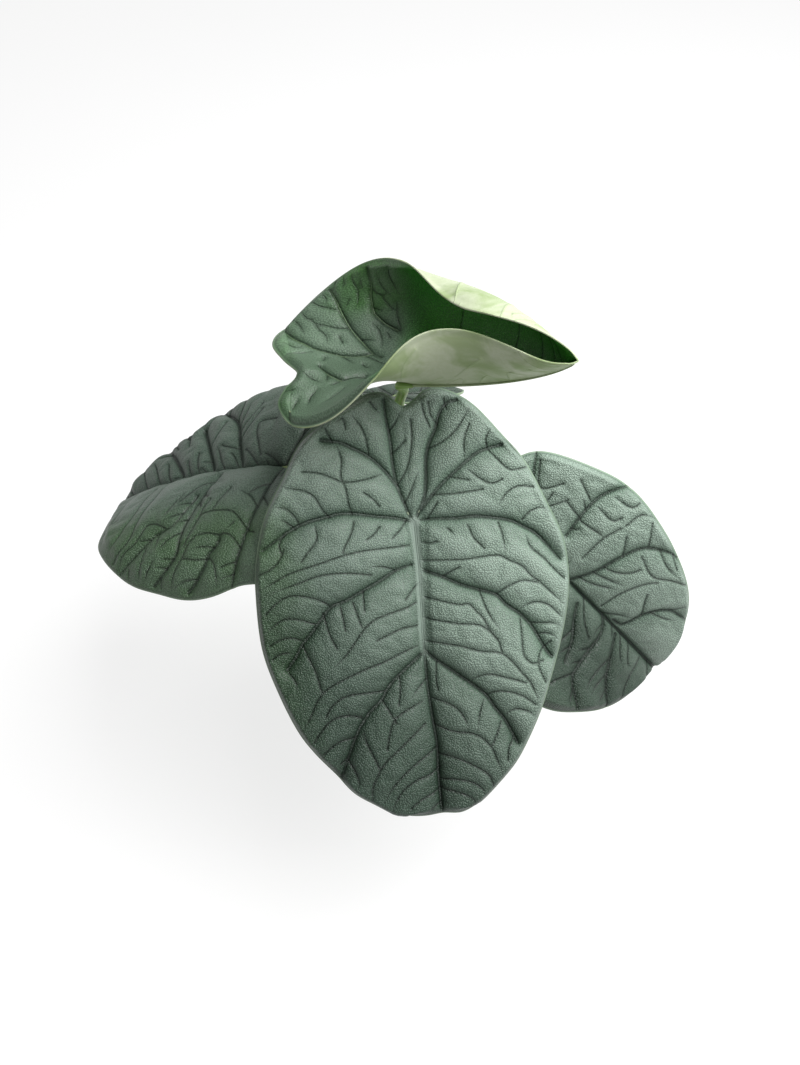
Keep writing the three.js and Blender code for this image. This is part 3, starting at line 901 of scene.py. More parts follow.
@dataclass(frozen=True)
class UnderFinish:
    """The smooth underside of a blade.

    Attributes:
        name: The material's name.
        base: Colour between the veins.
        stain: Colour of its greener patches.
        vein: Colour of the veins.
        vein_strength: How strongly the veins show.
        patches: Size of the greener patches, in patches a metre.
    """

    name: str = "leaf_underside"
    base: Colour = (0.235, 0.300, 0.195)
    stain: Colour = (0.150, 0.225, 0.120)
    vein: Colour = (0.330, 0.390, 0.265)
    vein_strength: float = 0.6
    patches: float = 28

    def make(self) -> Material:
        """The material."""
        n = NodeSheet(self.name)
        _, _, main = n.parts(n.attribute("main_vein"))
        _, _, side = n.parts(n.attribute("side_vein"))
        place = n.place()
        broad = n.noise(place, self.patches, 3, 0.55, 0.6)
        fine = n.noise(place, 420, 3, 0.6)
        colour = n.mix(n.spread(broad, 0.38, 0.66), self.base, self.stain)
        colour = n.mix(n.spread(fine, 0.3, 0.7, 0.0, 0.22), colour, self.stain)
        colour = n.mix(n.spread(side, 0.2, 1.1, self.vein_strength * 0.7, 0.0), colour, self.vein)
        colour = n.mix(n.spread(main, 0.4, 1.8, self.vein_strength, 0.0), colour, self.vein)
        height = n.total(n.times(fine, 0.12), n.spread(side, 0.0, 0.9, 0.15, 0.0))
        return n.finish(colour, 0.46, n.bump(height), Specular_IOR_Level=0.4)


@dataclass(frozen=True)
class StalkFinish:
    """A stalk's skin: long faint stripes and brown flecks, browner at its foot.

    Attributes:
        name: The material's name.
        green: Main colour.
        pale: Colour of the stripes.
        base: Colour near the rhizome.
        base_length: Length over which the base colour fades, in millimetres.
    """

    name: str
    green: Colour = (0.115, 0.180, 0.060)
    pale: Colour = (0.260, 0.330, 0.160)
    base: Colour = (0.160, 0.120, 0.075)
    base_length: float = 26.0

    def make(self) -> Material:
        """The material."""
        n = NodeSheet(self.name)
        grain = n.attribute("grain")
        _, _, along = n.parts(grain)
        stripes = n.noise(n.stretched(grain, (4.5, 4.5, 0.025)), 1.0, 3, 0.65)
        fleck = n.noise(n.stretched(grain, (3.0, 3.0, 0.55)), 1.0, 2, 0.5)
        colour = n.mix(n.spread(stripes, 0.35, 0.68), self.green, self.pale)
        colour = n.mix(n.spread(fleck, 0.6, 0.72, 0.0, 0.35), colour, self.base)
        near = n.spread(n.total(along, n.times(fleck, 12.0)), 4.0, self.base_length, 0.9, 0.0)
        colour = n.mix(near, colour, self.base)
        return n.finish(colour, 0.42, n.bump(n.times(stripes, 0.25)), Specular_IOR_Level=0.45,
                        Subsurface_Weight=0.08, Subsurface_Scale=0.002)


@dataclass(frozen=True)
class EarthFinish:
    """A rough natural matter: bark, sheaths, potting mix or stone grains.

    Attributes:
        name: The material's name.
        dark: Darkest colour.
        light: Lightest colour.
        scale: Grain size, in patches a metre.
        depth: Height of the grain in millimetres.
        roughness: Its roughness.
        ringed: True for rings across the Z axis, as on a rhizome.
    """

    name: str
    dark: Colour
    light: Colour
    scale: float
    depth: float = 0.4
    roughness: float = 0.9
    ringed: bool = False

    def make(self) -> Material:
        """The material."""
        n = NodeSheet(self.name)
        place = n.place()
        if self.ringed:
            place = n.stretched(place, (0.35, 0.35, 1.6))
        piece_tone, _, _ = n.parts(n.attribute("tone"))
        coarse = n.noise(place, self.scale, 4, 0.65, 0.2)
        fine = n.noise(place, self.scale * 6, 3, 0.6)
        tone = n.total(coarse, n.times(fine, 0.4), piece_tone)
        colour = n.mix(n.spread(tone, 0.45, 1.1), self.dark, self.light)
        height = n.times(n.total(coarse, n.times(fine, 0.5)), self.depth)
        return n.finish(colour, self.roughness, n.bump(height), Specular_IOR_Level=0.25)


@dataclass(frozen=True)
class PotFinish:
    """Moulded pot plastic: dark, faintly ringed by the mould and dusty toward the rim.

    Attributes:
        name: The material's name.
        base: Colour of the plastic.
        dust: Colour of the dust.
    """

    name: str = "pot_plastic"
    base: Colour = (0.040, 0.043, 0.042)
    dust: Colour = (0.170, 0.160, 0.140)

    def make(self) -> Material:
        """The material."""
        n = NodeSheet(self.name)
        place = n.place()
        _, _, z = n.parts(place)
        cloud = n.noise(place, 35, 4, 0.6, 0.4)
        grain = n.noise(place, 1500, 2, 0.5)
        rings = n.noise(n.stretched(place, (2.0, 2.0, 260.0)), 1.0, 2)
        dusty = n.times(n.spread(cloud, 0.45, 0.75), n.spread(z, 0.02, 0.1, 0.12, 0.4))
        colour = n.mix(dusty, self.base, self.dust)
        height = n.total(n.times(grain, 0.05), n.times(rings, 0.06))
        roughness = n.total(n.times(cloud, 0.25), 0.32)
        return n.finish(colour, roughness, n.bump(height), Specular_IOR_Level=0.5)


# Meshes


def coordinates(mesh: Mesh) -> Array:
    """A mesh's vertex coordinates, one a row."""
    values = np.empty(len(mesh.vertices) * 3)
    mesh.vertices.foreach_get("co", values)
    return values.reshape(-1, 3)


def move_vertices(mesh: Mesh, points_mm: Array) -> None:
    """Puts a mesh's vertices at points given in millimetres."""
    mesh.vertices.foreach_set("co", (points_mm * MM).ravel())
    mesh.update()


def store(mesh: Mesh, name: str, *parts: Array) -> None:
    """Stores three numbers for each vertex under a name."""
    layer = mesh.attributes.new(name, "FLOAT_VECTOR", "POINT")
    layer.data.foreach_set("vector", np.stack(parts, -1).astype(np.float32).ravel())


def as_piece(name: str, mesh: Mesh, materials: Sequence[Material],
             nodes: Sequence[str] = ()) -> Piece:
    """Makes a mesh a smooth piece of the plant.

    Args:
        name: The piece's name.
        mesh: Its mesh.
        materials: Its materials.
        nodes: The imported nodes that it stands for.

    Returns:
        The piece.
    """
    for material in materials:
        mesh.materials.append(material)
    mesh.polygons.foreach_set("use_smooth", [True] * len(mesh.polygons))
    piece = bpy.data.objects.new(name, mesh)
    bpy.context.collection.objects.link(piece)
    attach(piece, BODY)
    if nodes:
        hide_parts(*nodes)
    return piece


def from_bmesh(name: str, bm: bmesh.types.BMesh, unit: float = 1.0) -> Mesh:
    """A bmesh written as a mesh, times a unit."""
    bmesh.ops.scale(bm, vec=(unit,) * 3, verts=bm.verts[:])
    mesh = bpy.data.meshes.new(name)
    bm.to_mesh(mesh)
    bm.free()
    return mesh


def add_tube(bm: bmesh.types.BMesh, path: Array, radii: Array, sides: int) -> None:
    """Adds a closed round tube to a bmesh whose coordinates are millimetres.

    Args:
        bm: The bmesh. Its "grain" layer gets the direction round the tube and the length along it.
        path: The tube's centre line.
        radii: Its radius at each point, 0 at a closed end.
        sides: Faces round it.
    """
    grain = bm.verts.layers.float_vector.get("grain") or bm.verts.layers.float_vector.new("grain")
    tangents = np.gradient(path, axis=0)
    tangents /= np.linalg.norm(tangents, axis=1, keepdims=True)
    run = run_along(path)
    # Any direction that no tube of this plant starts in does here.
    normal = np.cross(tangents[0], (0.31, 0.9, 0.1))
    steps = len(path) - 1
    made = bmesh.ops.create_grid(bm, x_segments=sides, y_segments=steps, size=1.0)["verts"]
    frames = []
    for tangent in tangents:
        normal = normal - tangent * (normal @ tangent)
        normal /= np.linalg.norm(normal)
        frames.append((normal, np.cross(tangent, normal)))
    for vertex in made:
        k = round((vertex.co.y + 1) / 2 * steps)
        angle = (vertex.co.x + 1) * math.pi
        first, second = frames[k]
        out = first * math.cos(angle) + second * math.sin(angle)
        vertex.co = Vector(path[k] + out * radii[k])
        vertex[grain] = Vector((math.cos(angle), math.sin(angle), run[k]))
    bmesh.ops.remove_doubles(bm, verts=made, dist=1e-4)


def tubes_mesh(name: str, tubes: Sequence[tuple[Array, Array]], sides: int) -> Mesh:
    """One mesh of several closed tubes.

    Args:
        name: The mesh's name.
        tubes: The path and radii of each tube, in millimetres.
        sides: Faces round each.

    Returns:
        The mesh, in metres.
    """
    bm = bmesh.new()
    for path, radii in tubes:
        add_tube(bm, path, radii, sides)
    bmesh.ops.recalc_face_normals(bm, faces=bm.faces[:])
    return from_bmesh(name, bm, MM)


def rounded_ends(radii: Array) -> Array:
    """Radii with both ends closed."""
    closed = radii.copy()
    closed[0] = closed[-1] = 0
    return closed


# The plant's parts


@dataclass(frozen=True)
class Relief:
    """How a blade's skin stands between its veins, in millimetres.

    Attributes:
        pad: Height of the pads between main veins.
        pad_reach: Distance over which they rise.
        puff: Height of the small pads between side veins.
        puff_reach: Distance over which they rise.
        rim_width: Width of the band where the pads run out.
        relief_in_deep_shade: Share of the relief that is left in the zone of deep painted shade.
        strand_end: Where on the midrib its raised strand ends, or 0 for none.
        strand_height: Height of that strand.
        strand_half_width: Half its width.
    """

    pad: float = 4.5
    pad_reach: float = 9.0
    puff: float = 2.5
    puff_reach: float = 2.3
    rim_width: float = 4.0
    relief_in_deep_shade: float = 1.0
    strand_end: float = 0.0
    strand_height: float = 1.7
    strand_half_width: float = 1.5


@dataclass
class Blade:
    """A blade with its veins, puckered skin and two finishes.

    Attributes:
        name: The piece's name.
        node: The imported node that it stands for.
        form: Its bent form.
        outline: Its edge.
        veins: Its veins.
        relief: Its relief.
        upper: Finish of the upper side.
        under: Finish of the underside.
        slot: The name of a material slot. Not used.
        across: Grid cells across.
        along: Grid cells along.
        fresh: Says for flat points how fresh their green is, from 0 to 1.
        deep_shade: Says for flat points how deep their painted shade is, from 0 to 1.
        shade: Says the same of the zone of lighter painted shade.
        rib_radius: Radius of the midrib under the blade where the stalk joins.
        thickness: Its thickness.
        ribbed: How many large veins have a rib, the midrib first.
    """

    name: str
    node: str
    form: BladeForm
    outline: Outline
    veins: VeinNet
    relief: Relief
    upper: Material
    under: Material
    slot: str
    across: int
    along: int
    fresh: Callable[[Array], Array]
    deep_shade: Callable[[Array], Array]
    shade: Callable[[Array], Array]
    rib_radius: float = 2.4
    thickness: float = 1.0
    ribbed: int = 30

    # Side, fine and close veins that are further away than these may be passed over.
    SIDE_REACH = 14.0
    FINE_REACH = 10.0
    CLOSE_REACH = 6.0

    def sheet(self, square: Array) -> Array:
        """Flat points of a square grid that is stretched to the outline.

        Args:
            square: Grid points between -1 and 1.

        Returns:
            Flat points, one a row.
        """
        disc = square * np.sqrt(1 - square[:, ::-1] ** 2 / 2)
        ring = self.outline.ring
        reach = (ring.max(0) - ring.min(0)) / 2
        edge = self.outline.at(np.arctan2(disc[:, 1] * reach[1], disc[:, 0] * reach[0]))
        share = np.linalg.norm(disc, axis=1)[:, None]
        flat = self.outline.centre + share * (edge - self.outline.centre)
        # Vertices close to a vein move onto it, so that its crease is sharp. Those near the rim stay.
        rim_share, pull, usual_cell = 0.97, 0.36, 0.88
        cell = 2 * math.sqrt(reach[0] * reach[1] / (self.across * self.along)) * usual_cell
        near = field_of(flat, self.veins.large + self.veins.side, self.CLOSE_REACH)
        close = (near.distance < pull * cell) & (share[:, 0] < rim_share)
        flat[close] += near.offset[close]
        return flat

    def build(self) -> Piece:
        """The blade's piece."""
        bm = bmesh.new()
        bmesh.ops.create_grid(bm, x_segments=self.across, y_segments=self.along, size=1.0)
        bmesh.ops.reverse_faces(bm, faces=bm.faces[:])
        mesh = from_bmesh(self.name, bm)
        flat = self.sheet(coordinates(mesh)[:, :2])
        edge = self.outline.distance(flat)
        main = field_of(flat, self.veins.large)
        side = field_of(flat, self.veins.side, self.SIDE_REACH)
        height, *shares = self.skin(flat, edge, main, side)
        out = self.form.normals(flat) * (height + self.thickness / 2)[:, None]
        move_vertices(mesh, self.form.points(flat) + out)
        store(mesh, "blade", *flat.T, edge)
        store(mesh, "main_vein", *main.offset.T, main.distance)
        store(mesh, "side_vein", *side.offset.T, side.distance)
        store(mesh, "tone", *shares)
        store(mesh, "strength", main.strength, side.strength, np.zeros(len(flat)))
        # Stores the fresh green zone and the zones of deep and lighter painted shade.
        store(mesh, "fresh_and_painted_shade", self.fresh(flat), self.deep_shade(flat), self.shade(flat))
        piece = as_piece(self.name, mesh, (self.upper, self.under), (self.node,))
        wall = piece.modifiers.new("thickness", "SOLIDIFY")
        wall.thickness, wall.offset = self.thickness * MM, -1
        wall.material_offset = wall.material_offset_rim = 1
        return piece

    def skin(self, flat: Array, edge: Array, main: LineField, side: LineField) -> tuple[Array, ...]:
        """The puckered skin, with the midrib's raised strand and the grooves beside it.

        Args:
            flat: Flat points.
            edge: Their distance from the outline.
            main: What they know of the large veins.
            side: What they know of the side veins.

        Returns:
            The height there, and from 0 to 1 how much small pad, strand and large pad there is.
        """
        relief = self.relief
        fine = field_of(flat, self.veins.fine, self.FINE_REACH) if self.veins.fine else side
        every = (main.soft**-2 + side.soft**-2 + fine.soft**-2) ** -0.5
        inward = smooth_step(edge, 0.0, relief.rim_width)
        puff = 1 - np.exp(-every / relief.puff_reach)
        puff = puff * smooth_step(edge, 0.2, 1.8) * (0.4 + 0.6 * inward)
        pad = (1 - 0.5 * np.exp(-main.soft / relief.pad_reach)
               - 0.5 * np.exp(-3 * main.soft / relief.pad_reach))
        height = relief.pad * pad * (0.2 + 0.8 * inward) + relief.puff * puff
        # Less relief in the zone of deep painted shade.
        height = height * (1 - (1 - relief.relief_in_deep_shade) * self.deep_shade(flat))
        end = relief.strand_end
        if not end:
            return height, puff, np.zeros(len(flat)), pad
        away = field_of(flat, [self.veins.midrib]).distance
        width = relief.strand_half_width * (1 + 0.5 * np.exp(-np.maximum(flat[:, 1], 0) / 9))
        kept = 1 - smooth_step(flat[:, 1], end * 0.72, end * 1.12)
        strand = kept * (1 - smooth_step(away, width * 0.75, width * 1.3))
        groove = kept * 0.9 * np.exp(-(((away - width * 1.9) / (width * 0.7)) ** 2))
        height = height * (1 - strand) + strand * relief.strand_height - groove
        return height, puff, strand, pad

    def ribs(self, tip_radius: float = 0.3) -> Piece:
        """The raised ribs along the large veins of the underside.

        Args:
            tip_radius: Radius of a rib at its end.

        Returns:
            The piece.
        """
        tubes, room = [], 1.5
        for k, line in enumerate(self.veins.large[:self.ribbed]):
            is_midrib = k == 0
            flat = evenly(line[:, :2], 26 if is_midrib else 18)
            start = self.rib_radius * (1 if is_midrib else 0.62 if abs(flat[0, 1]) < 3 else 0.45)
            radii = np.linspace(start, tip_radius, len(flat))
            inside = np.array([self.outline.room(point) for point in flat]) > room
            flat, radii = flat[inside], radii[inside]
            sunk = -(self.thickness / 2 + radii * 0.25)
            path = self.form.points(flat) + self.form.normals(flat) * sunk[:, None]
            tubes.append((path, rounded_ends(radii)))
        mesh = tubes_mesh(f"{self.name}_ribs", tubes, 8)
        return as_piece(f"{self.name}_ribs", mesh, (self.under,))


@dataclass
class Stalk:
    """A petiole: a slim tapered stalk that widens into a sheath at its foot.

    Attributes:
        name: The piece's name.
        node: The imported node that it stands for.
        blade: The form of the blade that it carries.
        base_radius: Radius above the sheath.
        tip_radius: Radius under the blade.
        material: Its material.
        through: Points that it runs through, from the rhizome up.
        sides: Faces round it.
        foot_swell: Share by which its foot is wider.
        neck: Share by which its end in the midrib is thinner.
    """

    name: str
    node: str
    blade: BladeForm
    base_radius: float
    tip_radius: float
    material: Material
    through: Sequence[Triple]
    sides: int = 24
    foot_swell: float = 0.32
    neck: float = 0.55

    def build(self) -> Piece:
        """The stalk's piece."""
        # The last stretch runs inside the midrib, close under the blade.
        joint = np.array([[0.0, 0.0], [0.0, 8.0]])
        under = self.blade.points(joint) - self.blade.normals(joint) * np.array([[0.9], [1.1]])
        path = evenly(spline([*self.through, *map(tuple, under)], 12), 72)
        share = np.linspace(0, 1, len(path))
        radii = self.base_radius + (self.tip_radius - self.base_radius) * share
        swell = self.foot_swell * np.exp(-share / 0.06)
        radii = radii * (1 + swell - self.neck * smooth_step(share, 0.92, 1.0))
        mesh = tubes_mesh(self.name, [(path, rounded_ends(radii))], self.sides)
        return as_piece(self.name, mesh, (self.material,), (self.node,))


@dataclass
class Rhizome:
    """The short thick stem: a ringed, fibrous body with the torn papery sheaths of old stalks.

    Attributes:
        skin: Material of the body.
        paper: Material of the sheaths.
        bottom: Height of its lower end.
        shoulder: Height of the last ring scar.
        top: Height of its crown.
        bottom_radius: Radius at the lower end.
        bulge_radius: Radius at its widest.
        shoulder_radius: Radius at the shoulder.
        rings: Number of ring scars.
        sheaths: Number of papery sheaths.
        sheath_thickness: Their thickness.
    """

    skin: Material
    paper: Material
    bottom: float = 58.0
    shoulder: float = 100.0
    top: float = 108.0
    bottom_radius: float = 8.0
    bulge_radius: float = 12.0
    shoulder_radius: float = 10.5
    rings: int = 9
    sheaths: int = 7
    sheath_thickness: float = 0.35

    def body(self) -> Piece:
        """The rhizome itself."""
        share = np.linspace(0, 1, 90)
        z = self.bottom + (self.top - self.bottom) * share
        middle = (self.bottom + self.shoulder) / 2
        swell = (self.bulge_radius - self.bottom_radius) * smooth_step(z, self.bottom, middle)
        shrink = (self.shoulder_radius - self.bulge_radius) * smooth_step(z, middle, self.shoulder)
        radius = np.where(z < middle, self.bottom_radius + swell, self.bulge_radius + shrink)
        scar = 0.55 * np.abs(np.sin(np.pi * self.rings * share)) ** 0.5
        crown = np.sqrt(np.clip((self.top + 0.01 - z) / (self.top - self.shoulder), 0, 1))
        radius = (radius - 0.6 + scar) * np.where(z > self.shoulder, 0.35 + 0.65 * crown, 1)
        path = np.stack([np.zeros_like(z), np.zeros_like(z), z], -1)
        mesh = tubes_mesh("rhizome_body", [(path, rounded_ends(radius))], 72)
        points = coordinates(mesh) / MM
        away = points * (1, 1, 0)
        size = np.linalg.norm(away, axis=1, keepdims=True)
        lump = np.array([bumpy(p, 0.16, 3) for p in points])[:, None] * 0.9
        fibre = np.array([bumpy(p * (1, 1, 0.12), 0.9, 5) for p in points])[:, None] * 0.35
        out = away / np.maximum(size, 1e-3) * (lump + fibre) * np.minimum(size / 4, 1)
        move_vertices(mesh, points + out)
        return as_piece("rhizome_body", mesh, (self.skin,), ("rhizome",))

    def old_sheaths(self) -> Piece:
        """Torn sheaths that wrap the crown."""
        random = np.random.default_rng(5)
        bm = bmesh.new()
        for k in range(self.sheaths):
            around = k * 2.4 + random.uniform(-0.2, 0.2)
            span = random.uniform(1.1, 1.7)
            low = self.shoulder - random.uniform(3, 14)
            tall = random.uniform(10, 19)
            lean = random.uniform(0.6, 2.6)
            made = bmesh.ops.create_grid(bm, x_segments=16, y_segments=14, size=1.0)["verts"]
            for vertex in made:
                u, v = vertex.co.x, (vertex.co.y + 1) / 2
                tear = bumpy(np.array([u * 2.2, k * 3.1, 0.0]), 1.0, 2)
                torn = 1 - 0.35 * abs(u) ** 1.5 + 0.16 * tear
                angle = around + u * span / 2 * (1 - 0.55 * v**1.6)
                crumple = bumpy(np.array([u * 1.5, v * 3, k * 1.7]), 1.0, 7)
                radius = self.bulge_radius + 0.35 + 0.1 * k + lean * v**1.8 + 0.5 * crumple
                height = low + tall * torn * v
                vertex.co = Vector((radius * math.cos(angle), radius * math.sin(angle), height))
        piece = as_piece("old_sheaths", from_bmesh("old_sheaths", bm, MM), (self.paper,))
        wall = piece.modifiers.new("thickness", "SOLIDIFY")
        wall.thickness, wall.offset = self.sheath_thickness * MM, 0
        return piece


def bumpy(point: Array, scale: float, seed: float) -> float:
    """Smooth noise between -1 and 1 at a point."""
    return noise.noise(Vector(point * scale) + Vector((seed * 17.3, seed * 5.1, seed * 3.7)))


@dataclass
class PottingMix:
    """The potting mix: a rough bed with bark chips and pale stone grains on top.

    Attributes:
        pot: The pot that it fills.
        earth: Material of the bed.
        bark: Material of the chips.
        stone: Material of the grains.
        bottom: Height of its underside.
        top_edge: Height at the pot's wall.
        top_centre: Height at the centre.
        chips: Number of bark chips.
        grains: Number of stone grains.
        gap: Gap between the bed and the pot's wall.
        clear: Distance from the centre that the lumps keep, for the rhizome.
    """

    pot: "Pot"
    earth: Material
    bark: Material
    stone: Material
    bottom: float = 3.3
    top_edge: float = 88.0
    top_centre: float = 91.0
    chips: int = 230
    grains: int = 150
    gap: float = 0.3
    clear: float = 13.0

    def height_at(self, radius: float) -> float:
        """The bed's height at a distance from the centre."""
        share = radius / (self.pot.inside(self.top_edge) - self.gap)
        return self.top_edge + (self.top_centre - self.top_edge) * (1 - share**2) ** 0.7

    def bed(self) -> Piece:
        """The bed, closed all round."""
        edge = self.pot.inside(self.top_edge) - self.gap
        top = [(r, self.height_at(r)) for r in np.linspace(0, edge, 46)]
        wall_heights = np.linspace(self.top_edge - 2, self.bottom, 12)
        wall = [(self.pot.inside(z) - self.gap, z) for z in wall_heights]
        mesh = turned("soil_bed", [*top, *wall, (0.0, self.bottom)], 160)
        points = coordinates(mesh) / MM
        radius = np.hypot(points[:, 0], points[:, 1])
        free = (points[:, 2] > self.top_edge - 0.5) * smooth_step(edge - radius, 0.2, 2)
        rough = np.array([1.3 * bumpy(p, 0.22, 1) + 0.8 * bumpy(p, 0.6, 2) for p in points])
        points[:, 2] += free * rough
        move_vertices(mesh, points)
        return as_piece("soil_bed", mesh, (self.earth,), ("soil",))

    def scattered(self, name: str, count: int, seed: int, size: Triple, spread: tuple[float, float],
                  material: Material) -> Piece:
        """Lumps scattered over the bed.

        Args:
            name: The piece's name.
            count: Number of lumps.
            seed: Seed of the random draws.
            size: Half sizes of a usual lump.
            spread: The smallest and largest size, against the usual one.
            material: Their material.

        Returns:
            The piece.
        """
        random = np.random.default_rng(seed)
        edge = self.pot.inside(self.top_edge)
        bm = bmesh.new()
        tone = bm.verts.layers.float_vector.new("tone")
        for k in range(count):
            factor = random.uniform(*spread)
            half = Vector(size) * factor
            room = edge - half.x * 1.05 - 0.8 - self.clear
            radius = self.clear + room * math.sqrt(random.uniform(0, 1))
            angle = random.uniform(0, 2 * math.pi)
            made = bmesh.ops.create_icosphere(bm, subdivisions=1, radius=1.0)["verts"]
            for vertex in made:
                vertex.co *= 1 + 0.5 * bumpy(np.array(vertex.co), 1.1, k + 2)
                vertex.co = Vector(a * b for a, b in zip(vertex.co, half))
                vertex[tone] = Vector((random.uniform(-0.12, 0.12), 0, 0))
            tilts = (random.uniform(-0.5, 0.5), random.uniform(-0.5, 0.5), random.uniform(0, 6.3))
            bmesh.ops.rotate(bm, verts=made, matrix=Euler(tilts).to_matrix())
            height = self.height_at(radius) + half.z * random.uniform(0.1, 0.7)
            place = (radius * math.cos(angle), radius * math.sin(angle), height)
            bmesh.ops.translate(bm, verts=made, vec=place)
        mesh = from_bmesh(name, bm, MM)
        return as_piece(name, mesh, (material,))


def turned(name: str, profile: Sequence[tuple[float, float]], steps: int) -> Mesh:
    """A profile turned round the Z axis.

    Args:
        name: The mesh's name.
        profile: Radius and height of its points, in millimetres, from one end on the axis to the other.
        steps: Faces round it.

    Returns:
        The closed mesh, in metres.
    """
    bm = bmesh.new()
    points = [bm.verts.new((radius, 0, height)) for radius, height in profile]
    edges = [bm.edges.new(pair) for pair in zip(points, points[1:])]
    bmesh.ops.spin(bm, geom=points + edges, axis=(0, 0, 1), cent=(0, 0, 0), angle=2 * math.pi, steps=steps,
                   use_merge=True)
    bmesh.ops.remove_doubles(bm, verts=bm.verts[:], dist=1e-4)
    bmesh.ops.recalc_face_normals(bm, faces=bm.faces[:])
    return from_bmesh(name, bm, MM)


@dataclass
class Pot:
    """A plain round grower's pot with a rolled rim, faint mould rings and drain holes.

    Attributes:
        plastic: Its material.
        height: Height.
        bottom_radius: Outer radius at the bottom.
        top_radius: Outer radius of the wall at the top.
        wall: Wall thickness.
        floor: Floor thickness.
        rim_depth: Depth of the rim band.
        rim_stand: How far the rim band stands out of the wall.
        holes: Number of drain holes.
        hole_radius: Their radius.
        hole_circle: Radius of the circle that they lie on.
    """

    plastic: Material
    height: float = 100.0
    bottom_radius: float = 40.0
    top_radius: float = 55.0
    wall: float = 2.2
    floor: float = 3.0
    rim_depth: float = 9.0
    rim_stand: float = 1.4
    holes: int = 6
    hole_radius: float = 4.0
    hole_circle: float = 26.0

    def outside(self, z: float) -> float:
        """Outer radius of the wall at a height."""
        return self.bottom_radius + (self.top_radius - self.bottom_radius) * z / self.height

    def inside(self, z: float) -> float:
        """Inner radius of the wall at a height."""
        return self.outside(z) - self.wall

    def profile(self) -> list[tuple[float, float]]:
        """Radius and height of the section, from the underside round the rim to the inside floor."""
        band, foot_round, lip_round = self.height - self.rim_depth, 1.2, 0.9
        rim, top_inside = self.top_radius + self.rim_stand, self.inside(self.height)
        under_band = self.outside(band)
        quarter = np.linspace(0, math.pi / 2, 5)
        foot = [(self.bottom_radius - foot_round + foot_round * math.sin(a),
                 foot_round - foot_round * math.cos(a)) for a in quarter]
        outer = [(self.outside(z), z) for z in np.linspace(3, band - 1.2, 24)]
        step = [(self.outside(band - 0.9) + 0.15, band - 0.9),
                (under_band + self.rim_stand - 0.35, band - 0.2), (under_band + self.rim_stand, band + 0.3)]
        lip = [(rim - lip_round + lip_round * math.cos(a),
                self.height - lip_round + lip_round * math.sin(a)) for a in quarter]
        mouth = [(top_inside + 0.7, self.height), (top_inside + 0.2, self.height - 0.3),
                 (self.inside(self.height - 1), self.height - 1)]
        inner = [(self.inside(z), z) for z in np.linspace(self.height - 4, self.floor + 1.5, 12)]
        base = [(self.inside(self.floor) - 1.5, self.floor), (0.0, self.floor)]
        return [(0.0, 0.0), (20.0, 0.0), *foot, *outer, *step, *lip, *mouth, *inner, *base]

    def build(self) -> Piece:
        """The pot with its drain holes cut."""
        mesh = turned("pot_shell", self.profile(), 144)
        shell = bpy.data.objects.new("uncut", mesh)
        bm = bmesh.new()
        for k in range(self.holes):
            angle = k / self.holes * 2 * math.pi
            made = bmesh.ops.create_cone(bm, cap_ends=True, segments=24, radius1=self.hole_radius,
                                         radius2=self.hole_radius, depth=4 * self.floor)["verts"]
            bmesh.ops.translate(bm, verts=made, vec=(self.hole_circle * math.cos(angle),
                                                     self.hole_circle * math.sin(angle), self.floor / 2))
        drills = bpy.data.objects.new("drills", from_bmesh("drills", bm, MM))
        for thing in (shell, drills):
            bpy.context.collection.objects.link(thing)
        cut = shell.modifiers.new("holes", "BOOLEAN")
        cut.operation, cut.object, cut.solver = "DIFFERENCE", drills, "EXACT"
        bored = bpy.data.meshes.new_from_object(shell.evaluated_get(bpy.context.evaluated_depsgraph_get()))
        for thing in (shell, drills):
            bpy.data.objects.remove(thing)
        bored.name = "pot_shell"
        piece = as_piece("pot_shell", bored, (self.plastic,), ("pot",))
        edges = piece.modifiers.new("corners", "EDGE_SPLIT")
        edges.split_angle = math.radians(50)
        return piece


# The studio


@dataclass
class Studio:
    """A plain pale floor, an even faint surround and one soft light from above.

    Attributes:
        surround: Strength of the surround.
        key_power: Power of the soft light in watts.
        key_size: Its side in metres.
        key_place: Where it hangs, in metres.
        key_aim: The point that it faces.
        floor_tone: Lightness of the floor.
        floor_glow: Light that the floor gives itself, as a light table does.
        floor_size: Side of the floor in metres.
    """

    surround: float = 0.14
    key_power: float = 17.5
    key_size: float = 0.85
    key_place: Triple = (0.34, 0.0, 0.8)
    key_aim: Triple = (0.0, -0.06, 0.2)
    floor_tone: float = 0.22
    floor_glow: float = 0.79
    floor_size: float = 14.0

    def build(self) -> None:
        """Sets the floor, the surround and the light."""
        scene = bpy.context.scene
        scene.view_settings.view_transform = "Standard"
        world = bpy.data.worlds.new("surround")
        scene.world = world
        world.use_nodes = True
        background = world.node_tree.nodes["Background"]
        background.inputs["Color"].default_value = (1, 1, 1, 1)
        background.inputs["Strength"].default_value = self.surround
        light = bpy.data.lights.new("key", "AREA")
        light.energy, light.size = self.key_power, self.key_size
        lamp = bpy.data.objects.new("key", light)
        lamp.location = self.key_place
        aim = Vector(self.key_aim) - Vector(self.key_place)
        lamp.rotation_euler = aim.to_track_quat("-Z", "Y").to_euler()
        lamp.visible_camera = False
        bpy.context.collection.objects.link(lamp)
        bm = bmesh.new()
        bmesh.ops.create_grid(bm, x_segments=1, y_segments=1, size=self.floor_size / 2)
        floor = bpy.data.objects.new("floor", from_bmesh("floor", bm))
        n = NodeSheet("floor_paper")
        tone = n.noise(n.place(), 3.0, 2)
        grey = n.spread(tone, 0.2, 0.8, self.floor_tone - 0.01, self.floor_tone)
        paper = n.finish(n.grey(grey), 0.95, Emission_Strength=self.floor_glow)
        floor.data.materials.append(paper)
        bpy.context.collection.objects.link(floor)


# The photograph's readings: pixels, and flat millimetres where a line says so

CAMERA = PhotoCamera()
# Samples of a traced line from one reading to the next.
PER_SPAN = 3

